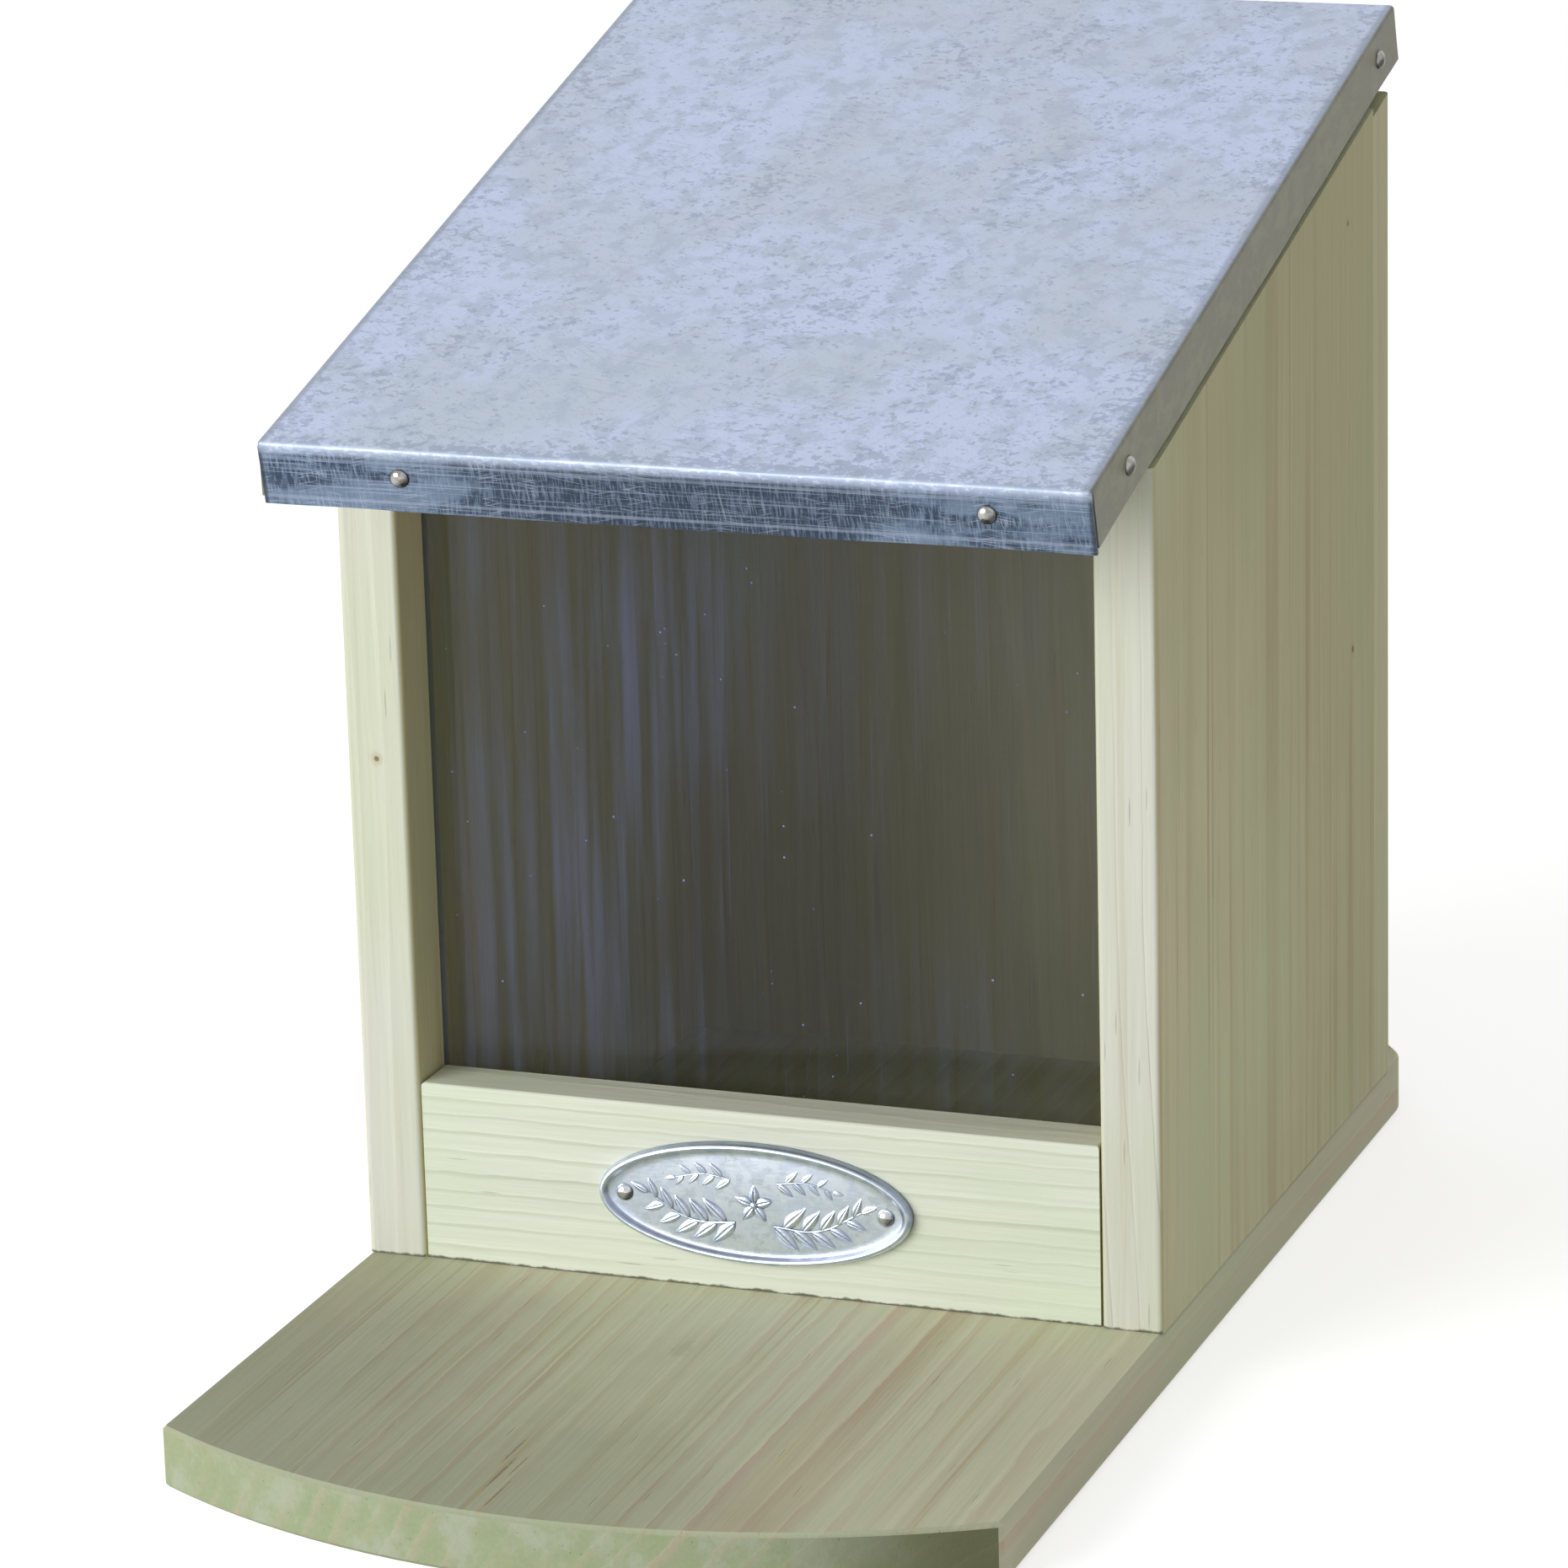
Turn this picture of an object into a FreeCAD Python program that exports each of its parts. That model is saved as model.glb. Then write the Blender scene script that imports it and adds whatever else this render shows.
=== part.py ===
import FreeCAD, Part
import math
import os

from FreeCAD import Vector

# Squirrel feeder box: a small treated-wood hopper with a landing in front, a clear window
# and a sloping lid capped with sheet metal that lifts on two butt hinges at the back.
# Millimetres. +X is to the right seen from the front, +Y to the back, +Z up.
# The origin is the middle of the base board's footprint, on its underside.

# Overall body
BODY_WIDTH = 122.0
BODY_DEPTH = 122.0
FRONT_HEIGHT = 125.5
ROOF_SLOPE = 14.5

# Base board: the landing bows out at the front, a step sticks out behind the body
BASE_THICKNESS = 9.0
LANDING_DEPTH = 72.0
FRONT_BOW = 17.0
REAR_STEP = 16.0
REAR_CORNER_RADIUS = 12.0
BASE_EDGE_BEVEL = 0.6

# Body boards
SIDE_THICKNESS = 9.0
SIDE_EDGE_ROUND = 0.8
BACK_THICKNESS = 9.0
FRONT_THICKNESS = 9.0
FRONT_BOARD_HEIGHT = 27.0
FRONT_EDGE_ROUND = 0.5
FRONT_RECESS = 0.3
FRONT_END_GAP = 0.25

# Clear window pane, held in a groove of each side panel
PANE_THICKNESS = 2.0
PANE_CLEARANCE = 0.2
PANE_TOP_GAP = 3.0
GROOVE_DEPTH = 4.0
GROOVE_SETBACK = 0.3

# Roof board and its sheet cap, in the tilted frame of the roof
CAP_INSET = 0.4
ROOF_THICKNESS = 9.0
ROOF_FRONT_OVERHANG = 25.0
ROOF_REAR_OVERHANG = 7.0
ROOF_EDGE_EASE = 0.25
SHEET_THICKNESS = 0.6
SHEET_BEND = 0.6
FLANGE_DEPTH = 8.8
CORNER_SLIT = 0.35

# Domed nails that hold the cap's flanges
CAP_NAIL_HEAD_RADIUS = 1.45
CAP_NAIL_HEAD_HEIGHT = 0.95
CAP_NAIL_SHANK_RADIUS = 0.75
CAP_NAIL_LENGTH = 14.0
CAP_NAIL_LEFT_INSET = 21.0
CAP_NAIL_RIGHT_INSET = 15.0
CAP_NAIL_FRONT_INSET = 16.0
CAP_NAIL_REAR_INSET = 10.0

# Oval badge plate on the front board, bare, with a raised rim and two pins
BADGE_LENGTH = 48.0
BADGE_HEIGHT = 18.4
BADGE_THICKNESS = 1.5
BADGE_FLOOR = 0.7
BADGE_RIM = 1.7
BADGE_BEVEL = 0.45
BADGE_PIN_INSET = 4.0
BADGE_PIN_HEAD_RADIUS = 1.3
BADGE_PIN_HEAD_HEIGHT = 0.9
BADGE_PIN_SHANK_RADIUS = 0.6
BADGE_PIN_LENGTH = 7.0

# Two butt hinges: one leaf on the back face, the other under the roof board
HINGE_WIDTH = 25.0
HINGE_INSET = 7.5
LEAF_LENGTH = 14.0
LEAF_THICKNESS = 1.0
LEAF_GAP = 0.3
KNUCKLE_COUNT = 5
KNUCKLE_RADIUS = 2.0
KNUCKLE_GAP = 0.15
KNUCKLE_CLEARANCE = 0.15
PIN_RADIUS = 1.0
PIN_RUNNING_CLEARANCE = 0.05
LEAF_SCREW_SPREAD = 15.0
LEAF_SCREW_REACH = 8.5
LEAF_SCREW_LENGTH = 7.5
LEAF_SCREW_SHANK_RADIUS = 1.2

# Wood screws up through the base board
BASE_SCREW_HEAD_RADIUS = 3.0
BASE_SCREW_HEAD_HEIGHT = 1.6
BASE_SCREW_SHANK_RADIUS = 1.5
BASE_SCREW_LENGTH = 28.0
BASE_SCREW_SUNK = 0.5
SIDE_SCREW_FRONT_INSET = 24.0
SIDE_SCREW_REAR_INSET = 22.0
CROSS_BOARD_SCREW_INSET = 22.0

# Flat-headed nails through the back board into the side panels
BACK_NAIL_ROWS = 3
BACK_NAIL_HEAD_RADIUS = 1.8
BACK_NAIL_HEAD_HEIGHT = 0.5
BACK_NAIL_SHANK_RADIUS = 0.9
BACK_NAIL_LENGTH = 24.0
BACK_NAIL_BOTTOM_INSET = 34.0
BACK_NAIL_TOP_INSET = 12.0

# Two holes in the back board for hanging the box with screws
HANGING_HOLE_RADIUS = 2.5
HANGING_HOLE_SPACING = 40.0
HANGING_HOLE_LOWER = 95.0

# Shared small values
FASTENER_CLEARANCE = 0.03
DRIVE_SLOT_WIDTH = 0.6
DRIVE_REACH = 0.55
DRIVE_DEPTH = 0.45
NAIL_POINT = 2.5
CUT_MARGIN = 2.0

# Positions that follow from the sizes above
SLOPE = math.radians(ROOF_SLOPE)
BASE_LENGTH = FRONT_BOW + LANDING_DEPTH + BODY_DEPTH + REAR_STEP
HALF_WIDTH = BODY_WIDTH / 2
INNER_HALF_WIDTH = HALF_WIDTH - SIDE_THICKNESS
SIDE_MIDDLE = HALF_WIDTH - SIDE_THICKNESS / 2
BASE_FRONT = -BASE_LENGTH / 2
LANDING_CORNER = BASE_FRONT + FRONT_BOW
BODY_FRONT = LANDING_CORNER + LANDING_DEPTH
BODY_BACK = BODY_FRONT + BODY_DEPTH
BASE_BACK = BODY_BACK + REAR_STEP
SIDE_BACK = BODY_BACK - BACK_THICKNESS
FRONT_FACE = BODY_FRONT + FRONT_RECESS
GROOVE_FRONT = FRONT_FACE + FRONT_THICKNESS + GROOVE_SETBACK
GROOVE_WIDTH = PANE_THICKNESS + 2 * PANE_CLEARANCE
ROOF_SEAT = BASE_THICKNESS + FRONT_HEIGHT
ROOF_HALF_WIDTH = HALF_WIDTH - CAP_INSET - SHEET_THICKNESS
ROOF_FRONT = -ROOF_FRONT_OVERHANG
ROOF_BACK = BODY_DEPTH / math.cos(SLOPE) + ROOF_REAR_OVERHANG
CAP_TOP = ROOF_THICKNESS + SHEET_THICKNESS
FLANGE_LOW = CAP_TOP - FLANGE_DEPTH
FLANGE_MIDDLE = CAP_TOP - FLANGE_DEPTH / 2
KNUCKLE_SEAT = KNUCKLE_RADIUS + KNUCKLE_CLEARANCE
HINGE_CENTRE = INNER_HALF_WIDTH - HINGE_INSET - HINGE_WIDTH / 2
AXIS_Y = BODY_BACK + KNUCKLE_SEAT
LEAF_SCREW_HEAD_RADIUS = LEAF_SCREW_SHANK_RADIUS + LEAF_THICKNESS


def roof_underside(y):
    """Height of the roof board's underside above the ground at depth y."""
    return ROOF_SEAT + (y - BODY_FRONT) * math.tan(SLOPE)


AXIS_Z = roof_underside(AXIS_Y) - KNUCKLE_SEAT / math.cos(SLOPE)


def block(x, y, z):
    """A box from three (low, high) pairs."""
    corner = Vector(x[0], y[0], z[0])
    return Part.makeBox(x[1] - x[0], y[1] - y[0], z[1] - z[0], corner)


def rod(radius, start, direction, length):
    return Part.makeCylinder(radius, length, start, direction)


def turned(points):
    """A solid turned about Z from (radius, height) points that start and end on the axis."""
    wire = Part.makePolygon([Vector(r, 0, z) for r, z in points + points[:1]])
    return Part.Face(wire).revolve(Vector(0, 0, 0), Vector(0, 0, 1), 360)


def aimed(shape, place, direction):
    """Moves a fastener made along +Z so that its head faces along direction at place."""
    moved = shape.copy()
    turn = FreeCAD.Rotation(Vector(0, 0, 1), direction)
    moved.Placement = FreeCAD.Placement(place, turn)
    return moved


def on_roof(shape):
    """Moves a shape from the roof's tilted frame, zero at the body's front, to its place."""
    moved = shape.copy()
    tilt = FreeCAD.Rotation(Vector(1, 0, 0), ROOF_SLOPE)
    moved.Placement = FreeCAD.Placement(Vector(0, BODY_FRONT, ROOF_SEAT), tilt).multiply(
        moved.Placement
    )
    return moved


def mirrored(shape):
    return shape.mirror(Vector(0, 0, 0), Vector(1, 0, 0))


def edges_where(shape, wanted):
    """Every edge whose end points all pass the test."""
    return [
        edge
        for edge in shape.Edges
        if all(wanted(vertex.Point) for vertex in edge.Vertexes)
    ]


def rounded_uprights(shape, radius, depth):
    """Rounds the upright edges of a board's face at one depth."""
    edges = []
    for edge in shape.Edges:
        points = [vertex.Point for vertex in edge.Vertexes]
        on_face = all(near(point.y, depth) for point in points)
        if on_face and near(points[0].x, points[-1].x):
            edges.append(edge)
    return shape.makeFillet(radius, edges)


def near(a, b):
    return abs(a - b) < 1e-6


# Fasteners, each made with its head's seat at the origin and its point along -Z

def domed_nail(head_radius, head_height, shank_radius, length):
    """A nail with a round domed head."""
    sphere_radius = (head_radius ** 2 + head_height ** 2) / (2 * head_height)
    centre = head_height - sphere_radius
    half_angle = math.asin(head_radius / sphere_radius) / 2
    middle = Vector(sphere_radius * math.sin(half_angle), 0, 0)
    middle.z = centre + sphere_radius * math.cos(half_angle)
    rim = Vector(head_radius, 0, 0)
    top = Vector(0, 0, head_height)
    dome = Part.Arc(rim, middle, top).toShape()
    rest = Part.makePolygon([
        top,
        Vector(0, 0, -length),
        Vector(shank_radius, 0, NAIL_POINT - length),
        Vector(shank_radius, 0, 0),
        rim,
    ])
    profile = Part.Face(Part.Wire([dome] + rest.Edges))
    return profile.revolve(Vector(0, 0, 0), Vector(0, 0, 1), 360)


def flat_nail(head_radius, head_height, shank_radius, length):
    """A wire nail with a flat head."""
    return turned([
        (0, head_height),
        (0, -length),
        (shank_radius, NAIL_POINT - length),
        (shank_radius, 0),
        (head_radius, 0),
        (head_radius, head_height),
    ])


def countersunk_screw(head_radius, head_height, shank_radius, length):
    """A wood screw, its flat top at the origin, with a cross recess scaled to its head."""
    body = turned([
        (0, 0),
        (0, -length),
        (shank_radius, NAIL_POINT - length),
        (shank_radius, -head_height),
        (head_radius, 0),
    ])
    reach = head_radius * DRIVE_REACH
    depth = head_height * DRIVE_DEPTH
    half = DRIVE_SLOT_WIDTH / 2
    across = block((-reach, reach), (-half, half), (-depth, CUT_MARGIN))
    along = block((-half, half), (-reach, reach), (-depth, CUT_MARGIN))
    return body.cut(across).cut(along)


def fastener_hole(shank_radius, length):
    """The bore that a nail or screw shank takes, from its head's seat inward."""
    radius = shank_radius + FASTENER_CLEARANCE
    return rod(radius, Vector(0, 0, -length), Vector(0, 0, 1), length + CUT_MARGIN)


def countersink(head_radius, head_height, shank_radius):
    """The cone that a flat head sits in, open above the surface."""
    wide = head_radius + FASTENER_CLEARANCE
    small = shank_radius + FASTENER_CLEARANCE
    bottom = Vector(0, 0, -head_height)
    cone = Part.makeCone(small, wide, head_height, bottom, Vector(0, 0, 1))
    mouth = rod(wide, Vector(0, 0, 0), Vector(0, 0, 1), CUT_MARGIN)
    return cone.fuse(mouth)


def placed_all(shape, places):
    return [aimed(shape, place, direction) for place, direction in places]


def cut_all(shape, tools):
    for tool in tools:
        shape = shape.cut(tool)
    return shape


# Where the fasteners go

def base_screw_places():
    """Two screws into each side panel, two into the front board, two into the back board."""
    down = Vector(0, 0, -1)
    height = BASE_SCREW_SUNK
    places = []
    cross_x = INNER_HALF_WIDTH - CROSS_BOARD_SCREW_INSET
    for side in (-1, 1):
        for y in (BODY_FRONT + SIDE_SCREW_FRONT_INSET, SIDE_BACK - SIDE_SCREW_REAR_INSET):
            places.append((Vector(side * SIDE_MIDDLE, y, height), down))
        for y in (FRONT_FACE + FRONT_THICKNESS / 2, BODY_BACK - BACK_THICKNESS / 2):
            places.append((Vector(side * cross_x, y, height), down))
    return places


def base_screw_holes():
    return placed_all(
        fastener_hole(BASE_SCREW_SHANK_RADIUS, BASE_SCREW_LENGTH), base_screw_places()
    )


def back_nail_places():
    """Rows of nails into the rear edges of both side panels."""
    low = BASE_THICKNESS + BACK_NAIL_BOTTOM_INSET
    high = roof_underside(BODY_BACK) - LEAF_THICKNESS - LEAF_GAP - BACK_NAIL_TOP_INSET
    step = (high - low) / (BACK_NAIL_ROWS - 1)
    places = []
    for side in (-1, 1):
        for row in range(BACK_NAIL_ROWS):
            place = Vector(side * SIDE_MIDDLE, BODY_BACK, low + row * step)
            places.append((place, Vector(0, 1, 0)))
    return places


def back_nail_holes():
    return placed_all(
        fastener_hole(BACK_NAIL_SHANK_RADIUS, BACK_NAIL_LENGTH), back_nail_places()
    )


def front_cap_nail_places():
    """Places in the roof's frame on the front flange."""
    outer = ROOF_HALF_WIDTH + SHEET_THICKNESS
    return [
        (Vector(x, ROOF_FRONT, FLANGE_MIDDLE), Vector(0, -1, 0))
        for x in (CAP_NAIL_LEFT_INSET - outer, outer - CAP_NAIL_RIGHT_INSET)
    ]


def side_cap_nail_places(side):
    """Places in the roof's frame on one side flange."""
    outer = ROOF_HALF_WIDTH + SHEET_THICKNESS
    return [
        (Vector(side * outer, y, FLANGE_MIDDLE), Vector(side, 0, 0))
        for y in (ROOF_FRONT + CAP_NAIL_FRONT_INSET, ROOF_BACK - CAP_NAIL_REAR_INSET)
    ]


def cap_nail_holes():
    places = front_cap_nail_places() + side_cap_nail_places(-1) + side_cap_nail_places(1)
    return placed_all(fastener_hole(CAP_NAIL_SHANK_RADIUS, CAP_NAIL_LENGTH), places)


def hinge_columns():
    """Middle of each hinge across the width."""
    return (-HINGE_CENTRE, HINGE_CENTRE)


def fixed_leaf_screw_places():
    """Screw heads on the leaves that lie on the back face."""
    places = []
    for middle in hinge_columns():
        for side in (-1, 1):
            x = middle + side * LEAF_SCREW_SPREAD / 2
            place = Vector(x, BODY_BACK + LEAF_THICKNESS, AXIS_Z - LEAF_SCREW_REACH)
            places.append((place, Vector(0, 1, 0)))
    return places


def moving_leaf_screw_places():
    """Screw heads on the leaves under the roof board, in the roof's frame."""
    places = []
    for middle in hinge_columns():
        for side in (-1, 1):
            x = middle + side * LEAF_SCREW_SPREAD / 2
            place = Vector(x, roof_axis().y - LEAF_SCREW_REACH, -LEAF_THICKNESS)
            places.append((place, Vector(0, 0, -1)))
    return places


def leaf_screw_holes(places):
    return placed_all(fastener_hole(LEAF_SCREW_SHANK_RADIUS, LEAF_SCREW_LENGTH), places)


def badge_pin_places():
    reach = BADGE_LENGTH / 2 - BADGE_PIN_INSET
    y = FRONT_FACE - BADGE_FLOOR
    return [(Vector(side * reach, y, badge_height()), Vector(0, -1, 0)) for side in (-1, 1)]


def badge_height():
    return BASE_THICKNESS + FRONT_BOARD_HEIGHT / 2


def badge_pin_holes():
    return placed_all(
        fastener_hole(BADGE_PIN_SHANK_RADIUS, BADGE_PIN_LENGTH), badge_pin_places()
    )


def roof_axis():
    """The hinge axis in the roof's frame."""
    y = AXIS_Y - BODY_FRONT
    z = AXIS_Z - ROOF_SEAT
    return Vector(
        0,
        y * math.cos(SLOPE) + z * math.sin(SLOPE),
        z * math.cos(SLOPE) - y * math.sin(SLOPE),
    )


# Boards

def base_board():
    """Flat board with a bowed front edge and rounded rear corners."""
    corner = REAR_CORNER_RADIUS
    inset = corner * (1 - math.sqrt(0.5))
    left_front = Vector(-HALF_WIDTH, LANDING_CORNER, 0)
    right_front = Vector(HALF_WIDTH, LANDING_CORNER, 0)
    right_turn = Vector(HALF_WIDTH, BASE_BACK - corner, 0)
    right_back = Vector(HALF_WIDTH - corner, BASE_BACK, 0)
    left_back = Vector(corner - HALF_WIDTH, BASE_BACK, 0)
    left_turn = Vector(-HALF_WIDTH, BASE_BACK - corner, 0)
    outline = Part.Wire([
        Part.Arc(left_front, Vector(0, BASE_FRONT, 0), right_front).toShape(),
        Part.makeLine(right_front, right_turn),
        Part.Arc(
            right_turn, Vector(HALF_WIDTH - inset, BASE_BACK - inset, 0), right_back
        ).toShape(),
        Part.makeLine(right_back, left_back),
        Part.Arc(
            left_back, Vector(inset - HALF_WIDTH, BASE_BACK - inset, 0), left_turn
        ).toShape(),
        Part.makeLine(left_turn, left_front),
    ])
    board = Part.Face(outline).extrude(Vector(0, 0, BASE_THICKNESS))
    rims = edges_where(
        board, lambda point: near(point.z, 0) or near(point.z, BASE_THICKNESS)
    )
    board = board.makeChamfer(BASE_EDGE_BEVEL, rims)
    sinks = placed_all(
        countersink(BASE_SCREW_HEAD_RADIUS, BASE_SCREW_HEAD_HEIGHT, BASE_SCREW_SHANK_RADIUS),
        base_screw_places(),
    )
    return cut_all(board, base_screw_holes() + sinks)


def right_side_panel():
    """Full-height panel with a sloping top and the window's groove on its inner face."""
    profile = Part.makePolygon([
        Vector(INNER_HALF_WIDTH, BODY_FRONT, BASE_THICKNESS),
        Vector(INNER_HALF_WIDTH, SIDE_BACK, BASE_THICKNESS),
        Vector(INNER_HALF_WIDTH, SIDE_BACK, roof_underside(SIDE_BACK)),
        Vector(INNER_HALF_WIDTH, BODY_FRONT, ROOF_SEAT),
        Vector(INNER_HALF_WIDTH, BODY_FRONT, BASE_THICKNESS),
    ])
    panel = Part.Face(profile).extrude(Vector(SIDE_THICKNESS, 0, 0))
    panel = rounded_uprights(panel, SIDE_EDGE_ROUND, BODY_FRONT)
    groove = block(
        (INNER_HALF_WIDTH - CUT_MARGIN, INNER_HALF_WIDTH + GROOVE_DEPTH),
        (GROOVE_FRONT, GROOVE_FRONT + GROOVE_WIDTH),
        (BASE_THICKNESS - CUT_MARGIN, roof_underside(SIDE_BACK)),
    )
    return cut_all(panel, [groove] + base_screw_holes() + back_nail_holes())


def left_side_panel():
    return mirrored(right_side_panel())


def front_board():
    """Low board between the side panels that closes the bottom of the hopper."""
    half = INNER_HALF_WIDTH - FRONT_END_GAP
    top = BASE_THICKNESS + FRONT_BOARD_HEIGHT
    board = block(
        (-half, half), (FRONT_FACE, FRONT_FACE + FRONT_THICKNESS), (BASE_THICKNESS, top)
    )
    board = board.makeFillet(
        FRONT_EDGE_ROUND, edges_where(board, lambda point: near(point.z, top))
    )
    return cut_all(board, base_screw_holes() + badge_pin_holes())


def back_board():
    """Full-width board nailed on behind, its top cut to the slope below the hinge leaves."""
    drop = (LEAF_THICKNESS + LEAF_GAP) / math.cos(SLOPE)
    low_top = roof_underside(SIDE_BACK) - drop
    high_top = roof_underside(BODY_BACK) - drop
    profile = Part.makePolygon([
        Vector(-HALF_WIDTH, SIDE_BACK, BASE_THICKNESS),
        Vector(-HALF_WIDTH, BODY_BACK, BASE_THICKNESS),
        Vector(-HALF_WIDTH, BODY_BACK, high_top),
        Vector(-HALF_WIDTH, SIDE_BACK, low_top),
        Vector(-HALF_WIDTH, SIDE_BACK, BASE_THICKNESS),
    ])
    board = Part.Face(profile).extrude(Vector(BODY_WIDTH, 0, 0))
    board = rounded_uprights(board, SIDE_EDGE_ROUND, BODY_BACK)
    hanging = [
        rod(
            HANGING_HOLE_RADIUS,
            Vector(0, SIDE_BACK - CUT_MARGIN, height),
            Vector(0, 1, 0),
            BACK_THICKNESS + 2 * CUT_MARGIN,
        )
        for height in hanging_hole_heights()
    ]
    screws = leaf_screw_holes(fixed_leaf_screw_places())
    return cut_all(board, hanging + screws + base_screw_holes() + back_nail_holes())


def hanging_hole_heights():
    low = BASE_THICKNESS + HANGING_HOLE_LOWER
    return (low, low + HANGING_HOLE_SPACING)


def window_pane():
    """Clear pane that stands on the base board behind the front board."""
    half = INNER_HALF_WIDTH + GROOVE_DEPTH - PANE_CLEARANCE
    front = GROOVE_FRONT + PANE_CLEARANCE
    return block(
        (-half, half),
        (front, front + PANE_THICKNESS),
        (BASE_THICKNESS, roof_underside(front) - PANE_TOP_GAP),
    )


# Roof

def roof_board():
    """Flat board under the sheet, flush with it at the rear."""
    front = ROOF_FRONT + SHEET_THICKNESS
    board = block(
        (-ROOF_HALF_WIDTH, ROOF_HALF_WIDTH), (front, ROOF_BACK), (0, ROOF_THICKNESS)
    )
    board = rounded_cap_edges(board, front, SHEET_BEND + ROOF_EDGE_EASE, ROOF_THICKNESS)
    screws = leaf_screw_holes(moving_leaf_screw_places())
    return on_roof(cut_all(board, cap_nail_holes() + screws))


def rounded_cap_edges(shape, front, radius, top):
    """Rounds the front and side edges of a top face, and leaves the rear edge square."""
    edges = []
    for edge in shape.Edges:
        points = [vertex.Point for vertex in edge.Vertexes]
        on_top = all(near(point.z, top) for point in points)
        on_rear = all(not near(point.y, front) for point in points) and near(
            points[0].y, points[-1].y
        )
        if on_top and not on_rear:
            edges.append(edge)
    return shape.makeFillet(radius, edges)


def roof_sheet():
    """Thin metal cap with a flange down the front and both sides, slit at the corners."""
    outer_half = ROOF_HALF_WIDTH + SHEET_THICKNESS
    outer = block((-outer_half, outer_half), (ROOF_FRONT, ROOF_BACK), (FLANGE_LOW, CAP_TOP))
    outer = rounded_cap_edges(outer, ROOF_FRONT, SHEET_BEND + SHEET_THICKNESS, CAP_TOP)
    inner_front = ROOF_FRONT + SHEET_THICKNESS
    inner = block(
        (-ROOF_HALF_WIDTH, ROOF_HALF_WIDTH),
        (inner_front, ROOF_BACK + CUT_MARGIN),
        (FLANGE_LOW - CUT_MARGIN, ROOF_THICKNESS),
    )
    inner = rounded_cap_edges(inner, inner_front, SHEET_BEND, ROOF_THICKNESS)
    slit_top = CAP_TOP - SHEET_BEND - SHEET_THICKNESS
    slits = [
        block(
            sorted((side * ROOF_HALF_WIDTH, side * (outer_half + CUT_MARGIN))),
            (inner_front, inner_front + CORNER_SLIT),
            (FLANGE_LOW - CUT_MARGIN, slit_top),
        )
        for side in (-1, 1)
    ]
    return on_roof(cut_all(outer.cut(inner), slits + cap_nail_holes()))


def cap_nails(places):
    nail = domed_nail(
        CAP_NAIL_HEAD_RADIUS, CAP_NAIL_HEAD_HEIGHT, CAP_NAIL_SHANK_RADIUS, CAP_NAIL_LENGTH
    )
    return on_roof(Part.makeCompound(placed_all(nail, places)))


# Badge

def badge_ellipse(trim, start, depth):
    """A slice of the badge's oval, trimmed in from its outline."""
    centre = Vector(0, start, badge_height())
    curve = Part.Ellipse(
        centre + Vector(BADGE_LENGTH / 2 - trim, 0, 0),
        centre + Vector(0, 0, BADGE_HEIGHT / 2 - trim),
        centre,
    )
    return Part.Face(Part.Wire([curve.toShape()])).extrude(Vector(0, depth, 0))


def badge_plate():
    """Oval plate with a rounded raised rim."""
    plate = badge_ellipse(0, FRONT_FACE, -BADGE_THICKNESS)
    hollow = badge_ellipse(BADGE_RIM, FRONT_FACE - BADGE_FLOOR, -BADGE_THICKNESS)
    plate = plate.cut(hollow)
    face = FRONT_FACE - BADGE_THICKNESS
    plate = plate.makeChamfer(
        BADGE_BEVEL, edges_where(plate, lambda point: near(point.y, face))
    )
    return cut_all(plate, badge_pin_holes())


def badge_pins():
    pin = domed_nail(
        BADGE_PIN_HEAD_RADIUS, BADGE_PIN_HEAD_HEIGHT, BADGE_PIN_SHANK_RADIUS, BADGE_PIN_LENGTH
    )
    return Part.makeCompound(placed_all(pin, badge_pin_places()))


# Hinges

def knuckle_spans(middle, moving):
    """The (low, high) stretches of the knuckles that belong to one leaf."""
    width = (HINGE_WIDTH - (KNUCKLE_COUNT - 1) * KNUCKLE_GAP) / KNUCKLE_COUNT
    spans = []
    for index in range(int(moving), KNUCKLE_COUNT, 2):
        low = middle - HINGE_WIDTH / 2 + index * (width + KNUCKLE_GAP)
        spans.append((low, low + width))
    return spans


def leaf_with_knuckles(leaf, middle, axis, moving, bore_radius):
    """Adds a leaf's own knuckles and clears the room that the other leaf's turn in."""
    across = Vector(1, 0, 0)
    for low, high in knuckle_spans(middle, not moving):
        start = Vector(low - KNUCKLE_GAP, axis.y, axis.z)
        leaf = leaf.cut(rod(KNUCKLE_SEAT, start, across, high - low + 2 * KNUCKLE_GAP))
    for low, high in knuckle_spans(middle, moving):
        leaf = leaf.fuse(rod(KNUCKLE_RADIUS, Vector(low, axis.y, axis.z), across, high - low))
    start = Vector(middle - HINGE_WIDTH, axis.y, axis.z)
    return leaf.cut(rod(bore_radius, start, across, 2 * HINGE_WIDTH)).removeSplitter()


def leaf_sinks(places):
    sink = countersink(LEAF_SCREW_HEAD_RADIUS, LEAF_THICKNESS, LEAF_SCREW_SHANK_RADIUS)
    return placed_all(sink, places)


def hinge_fixed_leaves():
    """Leaves that lie flat on the back board's rear face."""
    axis = Vector(0, AXIS_Y, AXIS_Z)
    sinks = leaf_sinks(fixed_leaf_screw_places())
    leaves = []
    for middle in hinge_columns():
        leaf = block(
            (middle - HINGE_WIDTH / 2, middle + HINGE_WIDTH / 2),
            (BODY_BACK, BODY_BACK + LEAF_THICKNESS),
            (AXIS_Z - LEAF_LENGTH, AXIS_Z),
        )
        leaf = leaf_with_knuckles(leaf, middle, axis, False, PIN_RADIUS)
        leaves.append(cut_all(leaf, sinks))
    return Part.makeCompound(leaves)


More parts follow.
